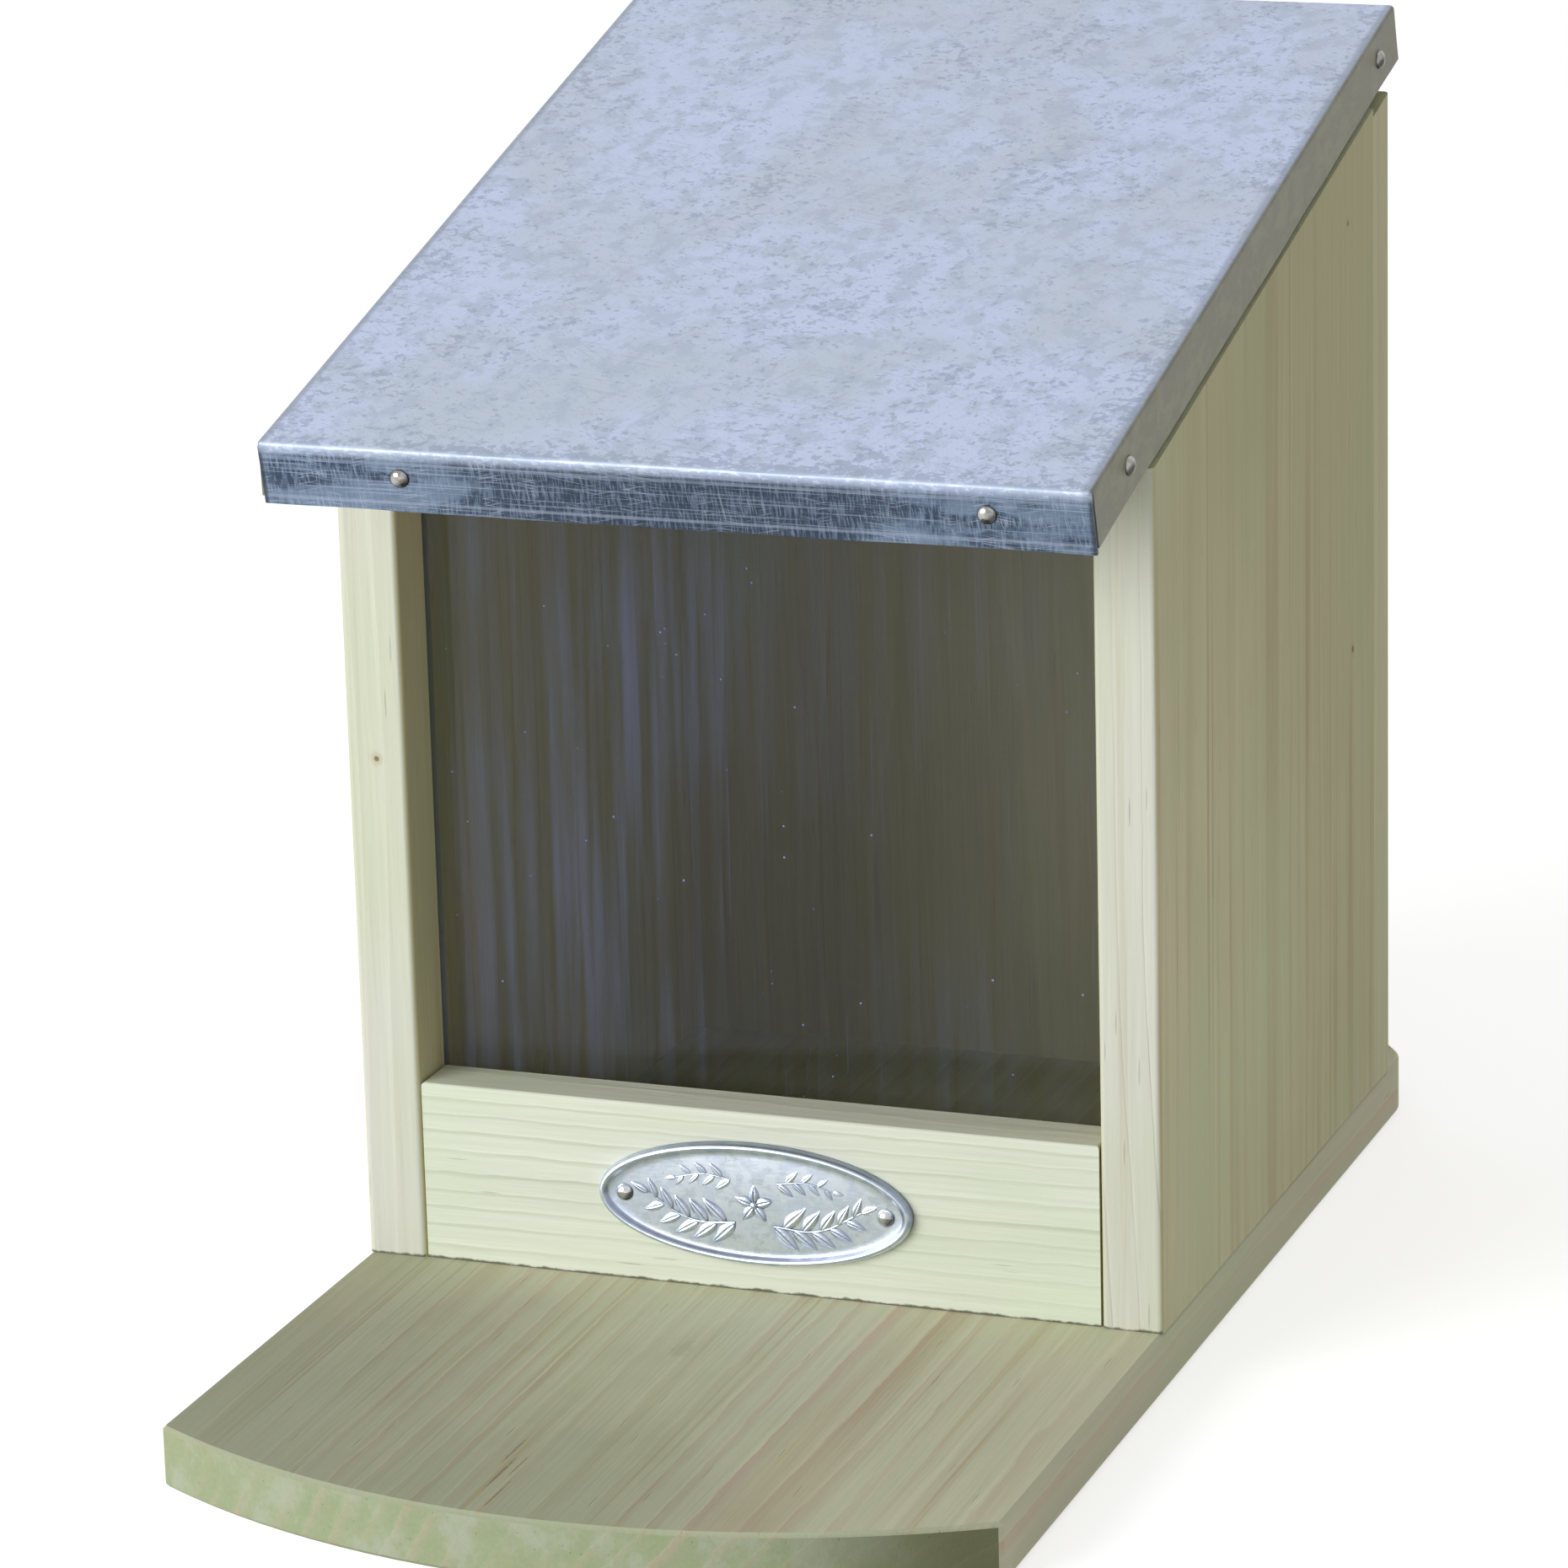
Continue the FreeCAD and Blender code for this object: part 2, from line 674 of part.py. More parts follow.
def hinge_moving_leaves():
    """Leaves that lie under the roof board and lift with it."""
    axis = roof_axis()
    sinks = leaf_sinks(moving_leaf_screw_places())
    leaves = []
    for middle in hinge_columns():
        leaf = block(
            (middle - HINGE_WIDTH / 2, middle + HINGE_WIDTH / 2),
            (axis.y - LEAF_LENGTH, axis.y),
            (-LEAF_THICKNESS, 0),
        )
        bore = PIN_RADIUS + PIN_RUNNING_CLEARANCE
        leaf = leaf_with_knuckles(leaf, middle, axis, True, bore)
        leaves.append(cut_all(leaf, sinks))
    return on_roof(Part.makeCompound(leaves))


def hinge_pins():
    """Plain pins, fast in the fixed leaves' knuckles."""
    pins = []
    for middle in hinge_columns():
        start = Vector(middle - HINGE_WIDTH / 2, AXIS_Y, AXIS_Z)
        pins.append(rod(PIN_RADIUS, start, Vector(1, 0, 0), HINGE_WIDTH))
    return Part.makeCompound(pins)


def leaf_screws(places):
    screw = countersunk_screw(
        LEAF_SCREW_HEAD_RADIUS, LEAF_THICKNESS, LEAF_SCREW_SHANK_RADIUS, LEAF_SCREW_LENGTH
    )
    return Part.makeCompound(placed_all(screw, places))


# Fasteners of the body

def base_screws():
    screw = countersunk_screw(
        BASE_SCREW_HEAD_RADIUS,
        BASE_SCREW_HEAD_HEIGHT,
        BASE_SCREW_SHANK_RADIUS,
        BASE_SCREW_LENGTH,
    )
    return Part.makeCompound(placed_all(screw, base_screw_places()))


def back_board_nails():
    nail = flat_nail(
        BACK_NAIL_HEAD_RADIUS, BACK_NAIL_HEAD_HEIGHT, BACK_NAIL_SHANK_RADIUS, BACK_NAIL_LENGTH
    )
    return Part.makeCompound(placed_all(nail, back_nail_places()))


def main():
    pieces = {
        "base_board": base_board(),
        "left_side_panel": left_side_panel(),
        "right_side_panel": right_side_panel(),
        "front_board": front_board(),
        "back_board": back_board(),
        "window_pane": window_pane(),
        "base_screws": base_screws(),
        "back_board_nails": back_board_nails(),
        "badge_plate": badge_plate(),
        "badge_pins": badge_pins(),
        "hinge_fixed_leaves": hinge_fixed_leaves(),
        "hinge_body_screws": leaf_screws(fixed_leaf_screw_places()),
        "hinge_pins": hinge_pins(),
        "roof_board": roof_board(),
        "roof_sheet": roof_sheet(),
        "front_roof_nails": cap_nails(front_cap_nail_places()),
        "left_roof_nails": cap_nails(side_cap_nail_places(-1)),
        "right_roof_nails": cap_nails(side_cap_nail_places(1)),
        "hinge_moving_leaves": hinge_moving_leaves(),
        "hinge_roof_screws": on_roof(leaf_screws(moving_leaf_screw_places())),
    }
    os.makedirs("parts", exist_ok=True)
    for name, shape in pieces.items():
        shape.exportStep(f"parts/{name}.step")


main()
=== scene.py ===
import math

import bmesh
import bpy
from mathutils import Euler, Matrix, Quaternion, Vector, noise


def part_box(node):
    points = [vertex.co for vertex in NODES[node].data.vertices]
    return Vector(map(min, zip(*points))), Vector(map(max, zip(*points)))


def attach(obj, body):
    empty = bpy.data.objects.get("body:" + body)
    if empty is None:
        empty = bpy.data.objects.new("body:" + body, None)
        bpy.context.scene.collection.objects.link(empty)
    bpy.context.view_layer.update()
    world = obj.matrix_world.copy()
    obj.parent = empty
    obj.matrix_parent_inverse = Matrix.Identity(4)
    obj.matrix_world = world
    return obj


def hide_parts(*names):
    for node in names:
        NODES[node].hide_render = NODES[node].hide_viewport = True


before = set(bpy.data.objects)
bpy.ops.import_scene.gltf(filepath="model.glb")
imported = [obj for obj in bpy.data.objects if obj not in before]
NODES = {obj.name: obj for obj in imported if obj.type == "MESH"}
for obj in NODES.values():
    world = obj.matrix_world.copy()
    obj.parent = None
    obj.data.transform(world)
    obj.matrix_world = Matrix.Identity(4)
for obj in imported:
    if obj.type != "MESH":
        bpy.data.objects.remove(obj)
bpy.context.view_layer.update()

MM = 0.001

# Camera, in metres

CAMERA_PLACE = Vector((0.3206, -0.86294, 0.34456))
CAMERA_AIM = Vector((-0.00256, -0.00138, 0.07864))
CAMERA_ROLL = math.radians(-1.545)
CAMERA_LENS = 152.075
CAMERA_SENSOR = 36.0
CAMERA_NEAR = 0.01
CAMERA_FAR = 50.0

# Light, in metres: key lamp at the front left, the rest from the world

KEY_AIM = Vector((0, 0, 0.09))
KEY_AZIMUTH = math.radians(-36)
KEY_ELEVATION = math.radians(13)
KEY_DISTANCE = 1.3
KEY_SIZE = 1.0
KEY_POWER = 15.4
WORLD_FILL = 0.52
FLOOR_HALF = 6.0
FLOOR_PALE = 0.8
FLOOR_GLOW = 0.56

# Roof, in the frame of its sloping seat, in millimetres

ROOF_SLOPE = math.radians(14.5)
ROOF_SEAT = Vector((0, -24.5, 134.5))
SHEET_THICKNESS = 0.6
FOLD_RADIUS = 0.68
FOLD_STEPS = 6
FLANGE_STEPS = 7
FRONT_FLANGE_DROP = 0.75
CAP_CELL = 1.6
CAP_WELD = 0.004
FLANGE_END_TRIM = 0.1
TOP_RIPPLE = 0.06
TOP_RIPPLE_LENGTH = 34.0
REAR_STILL_LENGTH = 12.0
SIDE_STILL_LENGTH = 8.0
FLANGE_BULGE = 0.3
FLANGE_BULGE_LENGTH = 22.0
FLANGE_BULGE_CURVE = 1.5
FLANGE_WAVE_MEAN = 0.55
FLANGE_WAVE_SWING = 0.6
FLANGE_EDGE_WANDER = 0.16
FLANGE_EDGE_LENGTH = 15.0
CORNER_NUDGE = 1e-6
CORNER_FLARE = 0.58
CORNER_FLARE_LENGTH = 3.2
NAIL_GRIP_REACH = 13.0
FOLD_FOOT = 0.05
FOLD_EASE = 0.25
SIDE_FOLD_SHARE = 0.15
SIDE_TURN = 0.3
SIDE_EASE = 0.4
HALF_TURN = 0.5
FRONT_FACE_DEPTH = 0.6
TOP_SEED, BULGE_SEED, EDGE_SEED, DENT_SEED = 1.3, 3.7, 8.1, 2.9

# Domed nails and pins, in millimetres

CAP_NAIL = {"Head Radius": 1.45, "Head Height": 0.95, "Shank Radius": 0.75, "Length": 14.0}
BADGE_PIN = {"Head Radius": 1.3, "Head Height": 0.9, "Shank Radius": 0.6, "Length": 7.0}
NAIL_LEAN = math.radians(4)
NAIL_SEED = 11
PIN_SEED = 5
NAIL_SIDES = 32
NAIL_STEPS = 16
DOME_STEPS = 8
TIP_STEP = 14
TIP_DEPTH = 0.82
NAIL_WELD = 0.001
DENT_SCALE = 700.0
DENT_DEPTH = 0.1
DENT_BIAS = 0.7

# Badge, in millimetres from the front board's face and from the badge's centre

BADGE_RINGS = 200
BADGE_FIELD_STEPS = 18
BADGE_FIELD = 0.7
BADGE_CROWN = 0.16
BADGE_CROWN_FALL = 1.6
BADGE_DENT = 0.035
BADGE_DENT_LENGTH = 5.5
BADGE_RIM = (
    (0.0, 0.02), (0.0, 0.5), (0.08, 0.86), (0.24, 1.22), (0.46, 1.43), (0.7, 1.49),
    (0.94, 1.4), (1.13, 1.17), (1.28, 0.93), (1.45, 0.76), (1.7, 0.7),
)
LEAF_LENGTH = 5.4
LEAF_WIDTH = 2.3
LEAF_RISE = 0.46
LEAF_SINK = 0.12
LEAF_STEPS = 18
LEAF_HALF_STEPS = 7
LEAF_VEINS = 6.5
LEAF_VEIN_SLANT = 1.4
LEAF_CREASE_WIDTH = 0.16
LEAF_CREASE_DEPTH = 0.42
LEAF_WELD = 0.002
LEAF_LEAST_EDGE = 0.001
STEM_SIDES = 10
STEM_RADIUS = 0.26
STEM_LIFT = 0.02
STEM_TIP_SHARE = 0.45
LEAF_TIP_SHARE = 0.6
SPRIG_SPREAD = math.radians(42)
SPRIGS = (
    (((3.0, -3.0), (9.6, -3.1), (16.3, 0.3)), 11, 0.95),
    (((3.6, 3.5), (7.8, 4.0), (12.0, 3.1)), 8, 0.56),
)
PETALS = 5
PETAL_START = 0.25
PETAL_SIZE = (0.52, 0.8, 0.9, 1)
BUD_RADIUS = 0.62
BUD_CELLS = (20, 10)


# Writing node trees

class Recipe:
    """Writes nodes into one tree, each to the right of the last."""

    def __init__(self, tree):
        self.tree = tree

    def add(self, kind, inputs=None, **settings):
        if not kind.startswith(("Geometry", "Function", "NodeGroup")):
            kind = "ShaderNode" + kind
        node = self.tree.nodes.new(kind)
        node.location = (190 * len(self.tree.nodes), 0)
        for name, value in settings.items():
            setattr(node, name, value)
        for name, value in (inputs or {}).items():
            self.feed(node.inputs[name], value)
        return node

    def one(self, kind, inputs=None, **settings):
        """The first output of a new node."""
        return self.add(kind, inputs, **settings).outputs[0]

    def feed(self, socket, value):
        if isinstance(value, bpy.types.NodeSocket):
            self.tree.links.new(value, socket)
        elif socket.type == "RGBA":
            socket.default_value = (*value[:3], 1.0)
        else:
            socket.default_value = value

    def shape(self, kind, inputs=None, **settings):
        return self.one("GeometryNode" + kind, inputs, **settings)

    def math(self, operation, *values, clamp=False):
        inputs = dict(enumerate(values))
        return self.one("Math", inputs, operation=operation, use_clamp=clamp)

    def vector(self, operation, *values):
        node = self.add("VectorMath", dict(enumerate(values)), operation=operation)
        return node.outputs["Value" if operation in ("LENGTH", "DOT_PRODUCT") else "Vector"]

    def total(self, *values):
        result = values[0]
        for value in values[1:]:
            result = self.math("ADD", result, value)
        return result

    def times(self, *values):
        result = values[0]
        for value in values[1:]:
            result = self.math("MULTIPLY", result, value)
        return result

    def less(self, value, part):
        return self.math("SUBTRACT", value, part)

    def parts(self, vector):
        return self.add("SeparateXYZ", {0: vector}).outputs

    def joined(self, x=0.0, y=0.0, z=0.0):
        return self.one("CombineXYZ", {0: x, 1: y, 2: z})

    def stretched(self, vector, stretch):
        return self.vector("MULTIPLY", vector, stretch)

    def step(self, value, low, high, start=0.0, end=1.0):
        """Eases from start to end as value goes from low to high."""
        inputs = {"Value": value, "From Min": low, "From Max": high, "To Min": start, "To Max": end}
        return self.one("MapRange", inputs, interpolation_type="SMOOTHSTEP")

    def noise(self, place, stretch=None, detail=2.0, roughness=0.5, output=0):
        if stretch:
            place = self.stretched(place, stretch)
        inputs = {"Vector": place, "Scale": 1.0, "Detail": detail, "Roughness": roughness}
        return self.add("TexNoise", inputs).outputs[output]

    def swing(self, start, *swings):
        """Adds noises of mean one half to a number, each with its amount, as numbers round 0."""
        for value, amount in swings:
            start = self.total(start, self.times(self.less(value, 0.5), amount))
        return start

    def blend(self, share, first, second):
        """Mixes two numbers."""
        return self.one("Mix", {0: share, 2: first, 3: second}, data_type="FLOAT")

    def mix(self, share, first, second):
        """Mixes two colours."""
        inputs = {0: share, 6: first, 7: second}
        return self.add("Mix", inputs, data_type="RGBA", clamp_factor=True).outputs[2]

    def coats(self, colour, *coats):
        """Lays coats on a colour, each with its share and its own colour."""
        for share, tone in coats:
            colour = self.mix(share, colour, tone)
        return colour

    def toned(self, colour, tone):
        """A colour turned lighter or darker by a number near 1."""
        return self.stretched(colour, self.joined(tone, tone, tone))

    def place(self, turn=(0.0, 0.0, 0.0), centre=(0.0, 0.0, 0.0), shift=0.0):
        """Object coordinates in millimetres, turned, with centre at the origin of X and Y."""
        location = -(Euler(turn).to_matrix() @ Vector(centre))
        location.z += shift
        inputs = {"Vector": self.add("TexCoord").outputs["Object"], "Location": location}
        inputs |= {"Rotation": turn, "Scale": (1 / MM,) * 3}
        return self.one("Mapping", inputs)

    def shader(self, colour, rough, height, others):
        """The usual shader, with a bump from a height in millimetres."""
        bump = self.one("Bump", {"Height": height, "Distance": MM, "Strength": 1.0})
        inputs = {"Base Color": colour, "Roughness": rough, "Normal": bump} | others
        return self.one("BsdfPrincipled", inputs)

    def surface(self, shader):
        self.add("OutputMaterial", {"Surface": shader})


def new_tree(name, kind, inputs, outputs):
    """An empty node group with its inputs and outputs, listed by kind of socket."""
    tree = bpy.data.node_groups.new(name, kind + "NodeTree")
    for in_out, sockets in (("INPUT", inputs), ("OUTPUT", outputs)):
        for socket_kind, names in sockets.items():
            for socket in names:
                socket_type = "NodeSocket" + socket_kind
                tree.interface.new_socket(socket, in_out=in_out, socket_type=socket_type)
    pen = Recipe(tree)
    return tree, pen, pen.add("NodeGroupInput").outputs


def new_material(name):
    material = bpy.data.materials.new(name)
    material.use_nodes = True
    material.node_tree.nodes.clear()
    return material, Recipe(material.node_tree)


# Treated pine

GRAIN_UP = (0.0, 0.0, 0.0)
GRAIN_ACROSS = (0.0, -math.pi / 2, 0.0)
GRAIN_DEEP = (math.pi / 2, 0.0, 0.0)
GRAIN_UP_ROOF = (math.pi / 2 - ROOF_SLOPE, 0.0, 0.0)
BASE_TOP = 9.0
ARRIS_HIGHLIGHT_HEIGHTS = (8.45, 8.8)
KNOT_BROWN = (0.1, 0.06, 0.035)
PINE_BROWN = (0.41, 0.31, 0.16)
PINE_GREEN = (0.47, 0.53, 0.31)
FRONT_GREEN = (0.55, 0.64, 0.46)
WORN_END = (0.36, 0.39, 0.3)
ARRIS_HIGHLIGHT = (0.42, 0.48, 0.33)
RIGHT_END_DARK = (0.1, 0.105, 0.045)
SHADE_GREEN = (0.3, 0.35, 0.22)
SHADE_YELLOW = (0.4, 0.37, 0.16)
JOINT_SHADOW = (0.12, 0.12, 0.08)

# A pale and a ring colour for a plank's faces, its edges and its ends

SIDE_TONES = (
    ((0.59, 0.555, 0.335), (0.46, 0.39, 0.21)),
    ((0.59, 0.6, 0.52), (0.51, 0.5, 0.41)),
    ((0.45, 0.47, 0.3), (0.36, 0.33, 0.2)),
)
# Painted light: the left side's faces are paler than the right's, standing in for light on its
# inner face.
LEFT_TONES_PAINTED_PALER = (((0.68, 0.62, 0.39), (0.54, 0.45, 0.26)), *SIDE_TONES[1:])
BACK_TONES = (((0.53, 0.5, 0.3), (0.42, 0.36, 0.19)),) * 2 + SIDE_TONES[2:]
FRONT_TONES = (
    ((0.66, 0.69, 0.59), (0.44, 0.5, 0.38)),
    ((0.74, 0.75, 0.62), (0.62, 0.63, 0.48)),
    ((0.48, 0.5, 0.33), (0.38, 0.36, 0.23)),
)
BASE_TONES = (
    ((0.56, 0.56, 0.4), (0.5, 0.38, 0.28)),
    ((0.54, 0.53, 0.37), (0.52, 0.38, 0.26)),
    ((0.28, 0.33, 0.19), (0.38, 0.34, 0.24)),
)

# The four numbers that each plank gives, and what it has unless it names its own

PINE_NUMBERS = ("Ring Pitch", "Late Wood", "Brown Share", "Green Share")
USUAL_PINE = {
    "Late Share": 0.6, "Wander": 14.0, "Wobble": 0.3, "Green": PINE_GREEN, "Brown": PINE_BROWN,
}


def pine_grain():
    """Growth rings round a heart on the Z axis, with fibres along Z, all in millimetres."""
    tree, pen, given = new_tree("pine grain", "Shader", {
        "Vector": ("Place",),
        "Float": (*PINE_NUMBERS, "Late Share", "Wander", "Wobble", "End"),
        "Color": ("Pale", "Ring", "Green", "Brown"),
    }, {"Color": ("Colour",), "Float": ("Roughness", "Height")})
    place, end = given["Place"], given["End"]

    wander = pen.joined(given["Wander"], given["Wander"])
    wobble = pen.joined(given["Wobble"], given["Wobble"])
    bent = place
    for stretch, reach in (
        ((0.012, 0.012, 0.0034), wander),
        ((0.1, 0.1, 0.011), (1.1, 1.1, 0.0)),
        ((0.35, 0.35, 0.1), wobble),
    ):
        drift = pen.noise(place, stretch, output=1)
        drift = pen.stretched(pen.vector("SUBTRACT", drift, (0.5, 0.5, 0.5)), reach)
        bent = pen.vector("ADD", bent, drift)
    radius = pen.vector("LENGTH", pen.stretched(bent, (1.0, 1.0, 0.0)))
    uneven = pen.noise(pen.joined(pen.times(radius, 0.05)), None, 1.0)
    rings = pen.math("DIVIDE", radius, given["Ring Pitch"])
    rings = pen.total(rings, pen.times(uneven, 3.0))
    across = pen.math("FRACT", rings)
    ring = {"W": pen.math("FLOOR", rings)}
    chance = pen.one("TexWhiteNoise", ring, noise_dimensions="1D")
    along = pen.noise(place, (0.05, 0.05, 0.004))
    late = pen.times(
        pen.step(across, pen.less(1.0, given["Late Share"]), 0.92),
        pen.step(across, 0.94, 1.0, 1.0, 0.0),
        pen.step(chance, 0.0, 1.0, 0.5, 1.0),
        pen.step(along, 0.38, 0.6, 0.45, 1.15),
    )
    crest = pen.step(across, 0.0, 0.14, 1.0, 0.0)

    fibre = pen.noise(place, (1.5, 1.5, 0.035), 4.0, 0.62)
    streak = pen.noise(place, (0.24, 0.24, 0.0045), 3.0, 0.6)
    thread = pen.noise(place, (0.62, 0.62, 0.0035))
    broad = pen.noise(place, (0.1, 0.1, 0.003), 2.0, 0.55)
    cloud = pen.noise(place, (0.03, 0.03, 0.012))
    cells = {"Vector": pen.stretched(place, (0.8, 0.8, 0.055)), "Scale": 1.0}
    cell = pen.add("TexVoronoi", cells).outputs
    seldom = pen.step(pen.parts(cell[1])[0], 0.55, 0.6)
    tick = pen.times(pen.step(cell[0], 0.07, 0.15, 1.0, 0.0), seldom)

    brown = pen.math("MAXIMUM", pen.step(streak, 0.54, 0.74), pen.step(thread, 0.6, 0.7))
    brown = pen.math("MAXIMUM", brown, pen.step(broad, 0.56, 0.68, 0.0, 0.7))
    green = pen.times(pen.step(cloud, 0.42, 0.62), pen.less(1.0, end))
    colour = pen.coats(
        given["Pale"],
        (pen.times(late, given["Late Wood"]), given["Ring"]),
        (pen.times(brown, given["Brown Share"]), given["Brown"]),
        (pen.times(green, given["Green Share"]), given["Green"]),
    )
    tone = pen.swing(1.0, (fibre, 0.23), (streak, 0.14), (cloud, 0.1))
    tone = pen.total(tone, pen.times(crest, 0.05))
    colour = pen.toned(colour, pen.less(tone, pen.times(tick, 0.14)))
    rough = pen.total(pen.swing(0.62, (fibre, 0.2)), pen.times(end, 0.12))
    rough = pen.less(rough, pen.times(late, 0.08))
    height = pen.swing(pen.times(late, 0.05), (fibre, 0.07))
    height = pen.less(height, pen.times(tick, 0.05))
    pen.add("NodeGroupOutput", {"Colour": colour, "Roughness": rough, "Height": height})
    return tree


PINE_GRAIN = pine_grain()


def pine_board(name, turn, heart, faces, tones, shift, numbers, lean=(0.0, 0.0), knots=(),
               worn=0.0, painted_shade=None, stands=False, edge_rings=1.0, own=None):
    """A board's finish. faces is 0 or 1, for the turned X or Y that its broad faces look along.
    The grain leans by so many degrees. A board that stands has a painted shadow line along its
    foot."""
    material, pen = new_material(name)
    turn = (turn[0] + math.radians(lean[0]), turn[1] + math.radians(lean[1]), turn[2])
    normal = pen.add("TexCoord").outputs["Normal"]
    facing = {"Vector": normal, "Rotation": turn}
    facing = pen.parts(pen.one("Mapping", facing, vector_type="VECTOR"))
    end, face = (pen.step(pen.math("ABSOLUTE", facing[axis]), 0.5, 0.85) for axis in (2, faces))
    fed = USUAL_PINE | dict(zip(PINE_NUMBERS, numbers)) | (own or {})
    fed |= {"Place": pen.place(turn, heart, shift), "End": end}
    for key, on_face, on_edge, on_end in zip(("Pale", "Ring"), *tones):
        fed[key] = pen.mix(end, pen.mix(face, on_edge, on_face), on_end)
    for key, share in (("Brown Share", 0.2), ("Late Wood", edge_rings)):
        fed[key] = pen.times(pen.blend(face, share, 1.0), fed[key])
    grain = pen.add("Group", fed, node_tree=PINE_GRAIN).outputs
    colour = grain["Colour"]
    flat = pen.place()
    where = pen.parts(flat)
    if worn:  # the end grain that shows
        patch = pen.noise(flat, (0.13, 0.13, 0.1), 7.0, 0.68)
        colour = pen.coats(
            colour,
            (pen.times(pen.step(patch, 0.46, 0.64), end, worn), WORN_END),
            # Darker towards the right end of the end grain.
            (pen.times(pen.step(where[0], 26.0, 58.0), end, 0.9), RIGHT_END_DARK),
            # Painted highlight: a pale band just under the top arris of the end grain.
            (pen.times(pen.step(where[2], *ARRIS_HIGHLIGHT_HEIGHTS), end, 0.75), ARRIS_HIGHLIGHT),
        )
    # Painted shade: the broad faces turn darker and take a tint towards one side, along the given
    # way.
    if painted_shade:
        way, low, high, tone, shade_tint = painted_shade
        reach = pen.vector("DOT_PRODUCT", flat, way)
        cloud = pen.noise(flat, (0.02, 0.02, 0.02), 4.0, 0.6)
        reach = pen.swing(reach, (cloud, 0.9 * (high - low)))
        dull = pen.times(pen.step(reach, low, high), face)
        colour = pen.toned(colour, pen.blend(dull, 1.0, tone))
        colour = pen.mix(pen.times(dull, 0.35), colour, shade_tint)
    # Painted shadow: a dark ragged line along the foot of the faces that look to the front, where
    # the board meets the base.
    if stands:
        ragged = pen.swing(where[2], (pen.noise(flat, (0.6, 0.6, 0.6), 4.0), 1.0))
        joint = pen.step(ragged, BASE_TOP + 0.12, BASE_TOP + 0.5, 1.0, 0.0)
        ahead = pen.step(pen.parts(normal)[1], -0.8, -0.4, 1.0, 0.0)
        colour = pen.mix(pen.times(joint, ahead), colour, JOINT_SHADOW)
    for spot, seen, size, depth in knots:
        away = pen.stretched(pen.vector("SUBTRACT", flat, spot), seen)
        ragged = pen.noise(flat, (0.9, 0.9, 0.4))
        away = pen.swing(pen.vector("LENGTH", away), (ragged, size))
        colour = pen.coats(
            colour,
            (pen.step(away, size, size * 2.6, 0.5 * depth, 0.0), PINE_BROWN),
            (pen.step(away, size * 0.4, size, depth, 0.0), KNOT_BROWN),
        )
    shader = pen.shader(colour, grain["Roughness"], grain["Height"], {"Specular IOR Level": 0.35})
    pen.surface(shader)
    return material


def dress(node, material):
    for slot in NODES[node].material_slots:
        slot.material = material


def dress_boards():
    """Gives each board of the box and lid its own plank of pine."""
    on_side, on_base = (0.0, 1.0, 1.0), (1.0, 0.035, 1.0)
    dress("right_side_panel", pine_board(
        "treated pine right side", GRAIN_UP, (18, 6, 0), 0, SIDE_TONES, 1555,
        (3.6, 0.34, 0.8, 0.5), lean=(0.7, -0.5), stands=True, edge_rings=0.5,
        knots=(((61, 76.4, 82.9), on_side, 0.8, 0.8), ((61, 74.2, 149.0), on_side, 0.6, 0.7)),
        # Painted shade: darker and yellower towards the top and the back.
        painted_shade=((0.0, 0.8, 0.6), 0.0, 135.0, 0.78, SHADE_YELLOW),
    ))
    dress("left_side_panel", pine_board(
        "treated pine left side", GRAIN_UP, (-15, -22, 0), 0, LEFT_TONES_PAINTED_PALER, 1130,
        (3.3, 0.5, 0.4, 0.4), lean=(-0.6, 0.4), stands=True, edge_rings=0.5,
        knots=(((-56.4, -24.5, 84.9), (1.0, 0.0, 1.0), 0.55, 0.8),),
    ))
    dress("front_board", pine_board(
        "treated pine front", GRAIN_ACROSS, (0, 10, -70), 1, FRONT_TONES, 1870,
        (2.7, 1.0, 0.06, 0.4), lean=(0.0, 0.5), stands=True, edge_rings=0.8,
        own={"Late Share": 0.3, "Wander": 7.0, "Wobble": 0.9, "Green": FRONT_GREEN},
    ))
    dress("back_board", pine_board(
        "treated pine back", GRAIN_UP, (-8, 140, 0), 1, BACK_TONES, 2550,
        (3.5, 0.6, 0.4, 0.35), lean=(1.1, 0.8),
    ))
    dress("base_board", pine_board(
        "treated pine base", GRAIN_DEEP, (92, 0, -66), 1, BASE_TONES, 4195,
        (4.2, 0.7, 0.5, 0.34), lean=(0.4, 0.5), worn=0.75,
        own={"Late Share": 0.5, "Wander": 9.0, "Wobble": 1.0},
        knots=(((-10.6, -91, 9), on_base, 0.22, 0.5), ((-9.3, -99, 9), on_base, 0.26, 0.6),
               ((-7.9, -96, 9), on_base, 0.18, 0.5), ((-6.9, -106, 9), on_base, 0.22, 0.5),
               ((-2.3, -48.8, 9), (1.0, 0.5, 1.0), 2.0, 0.16)),
        # Painted shade: darker and greener towards the front left.
        painted_shade=((-0.8, -0.6, 0.0), 20.0, 96.0, 0.64, SHADE_GREEN),
    ))
    dress("roof_board", pine_board(
        "treated pine roof", GRAIN_UP_ROOF, (-12, 0, 100), 1, SIDE_TONES, 4010,
        (3.4, 0.55, 0.4, 0.3), lean=(0.6, 0.9),
    ))


# Metals and the window

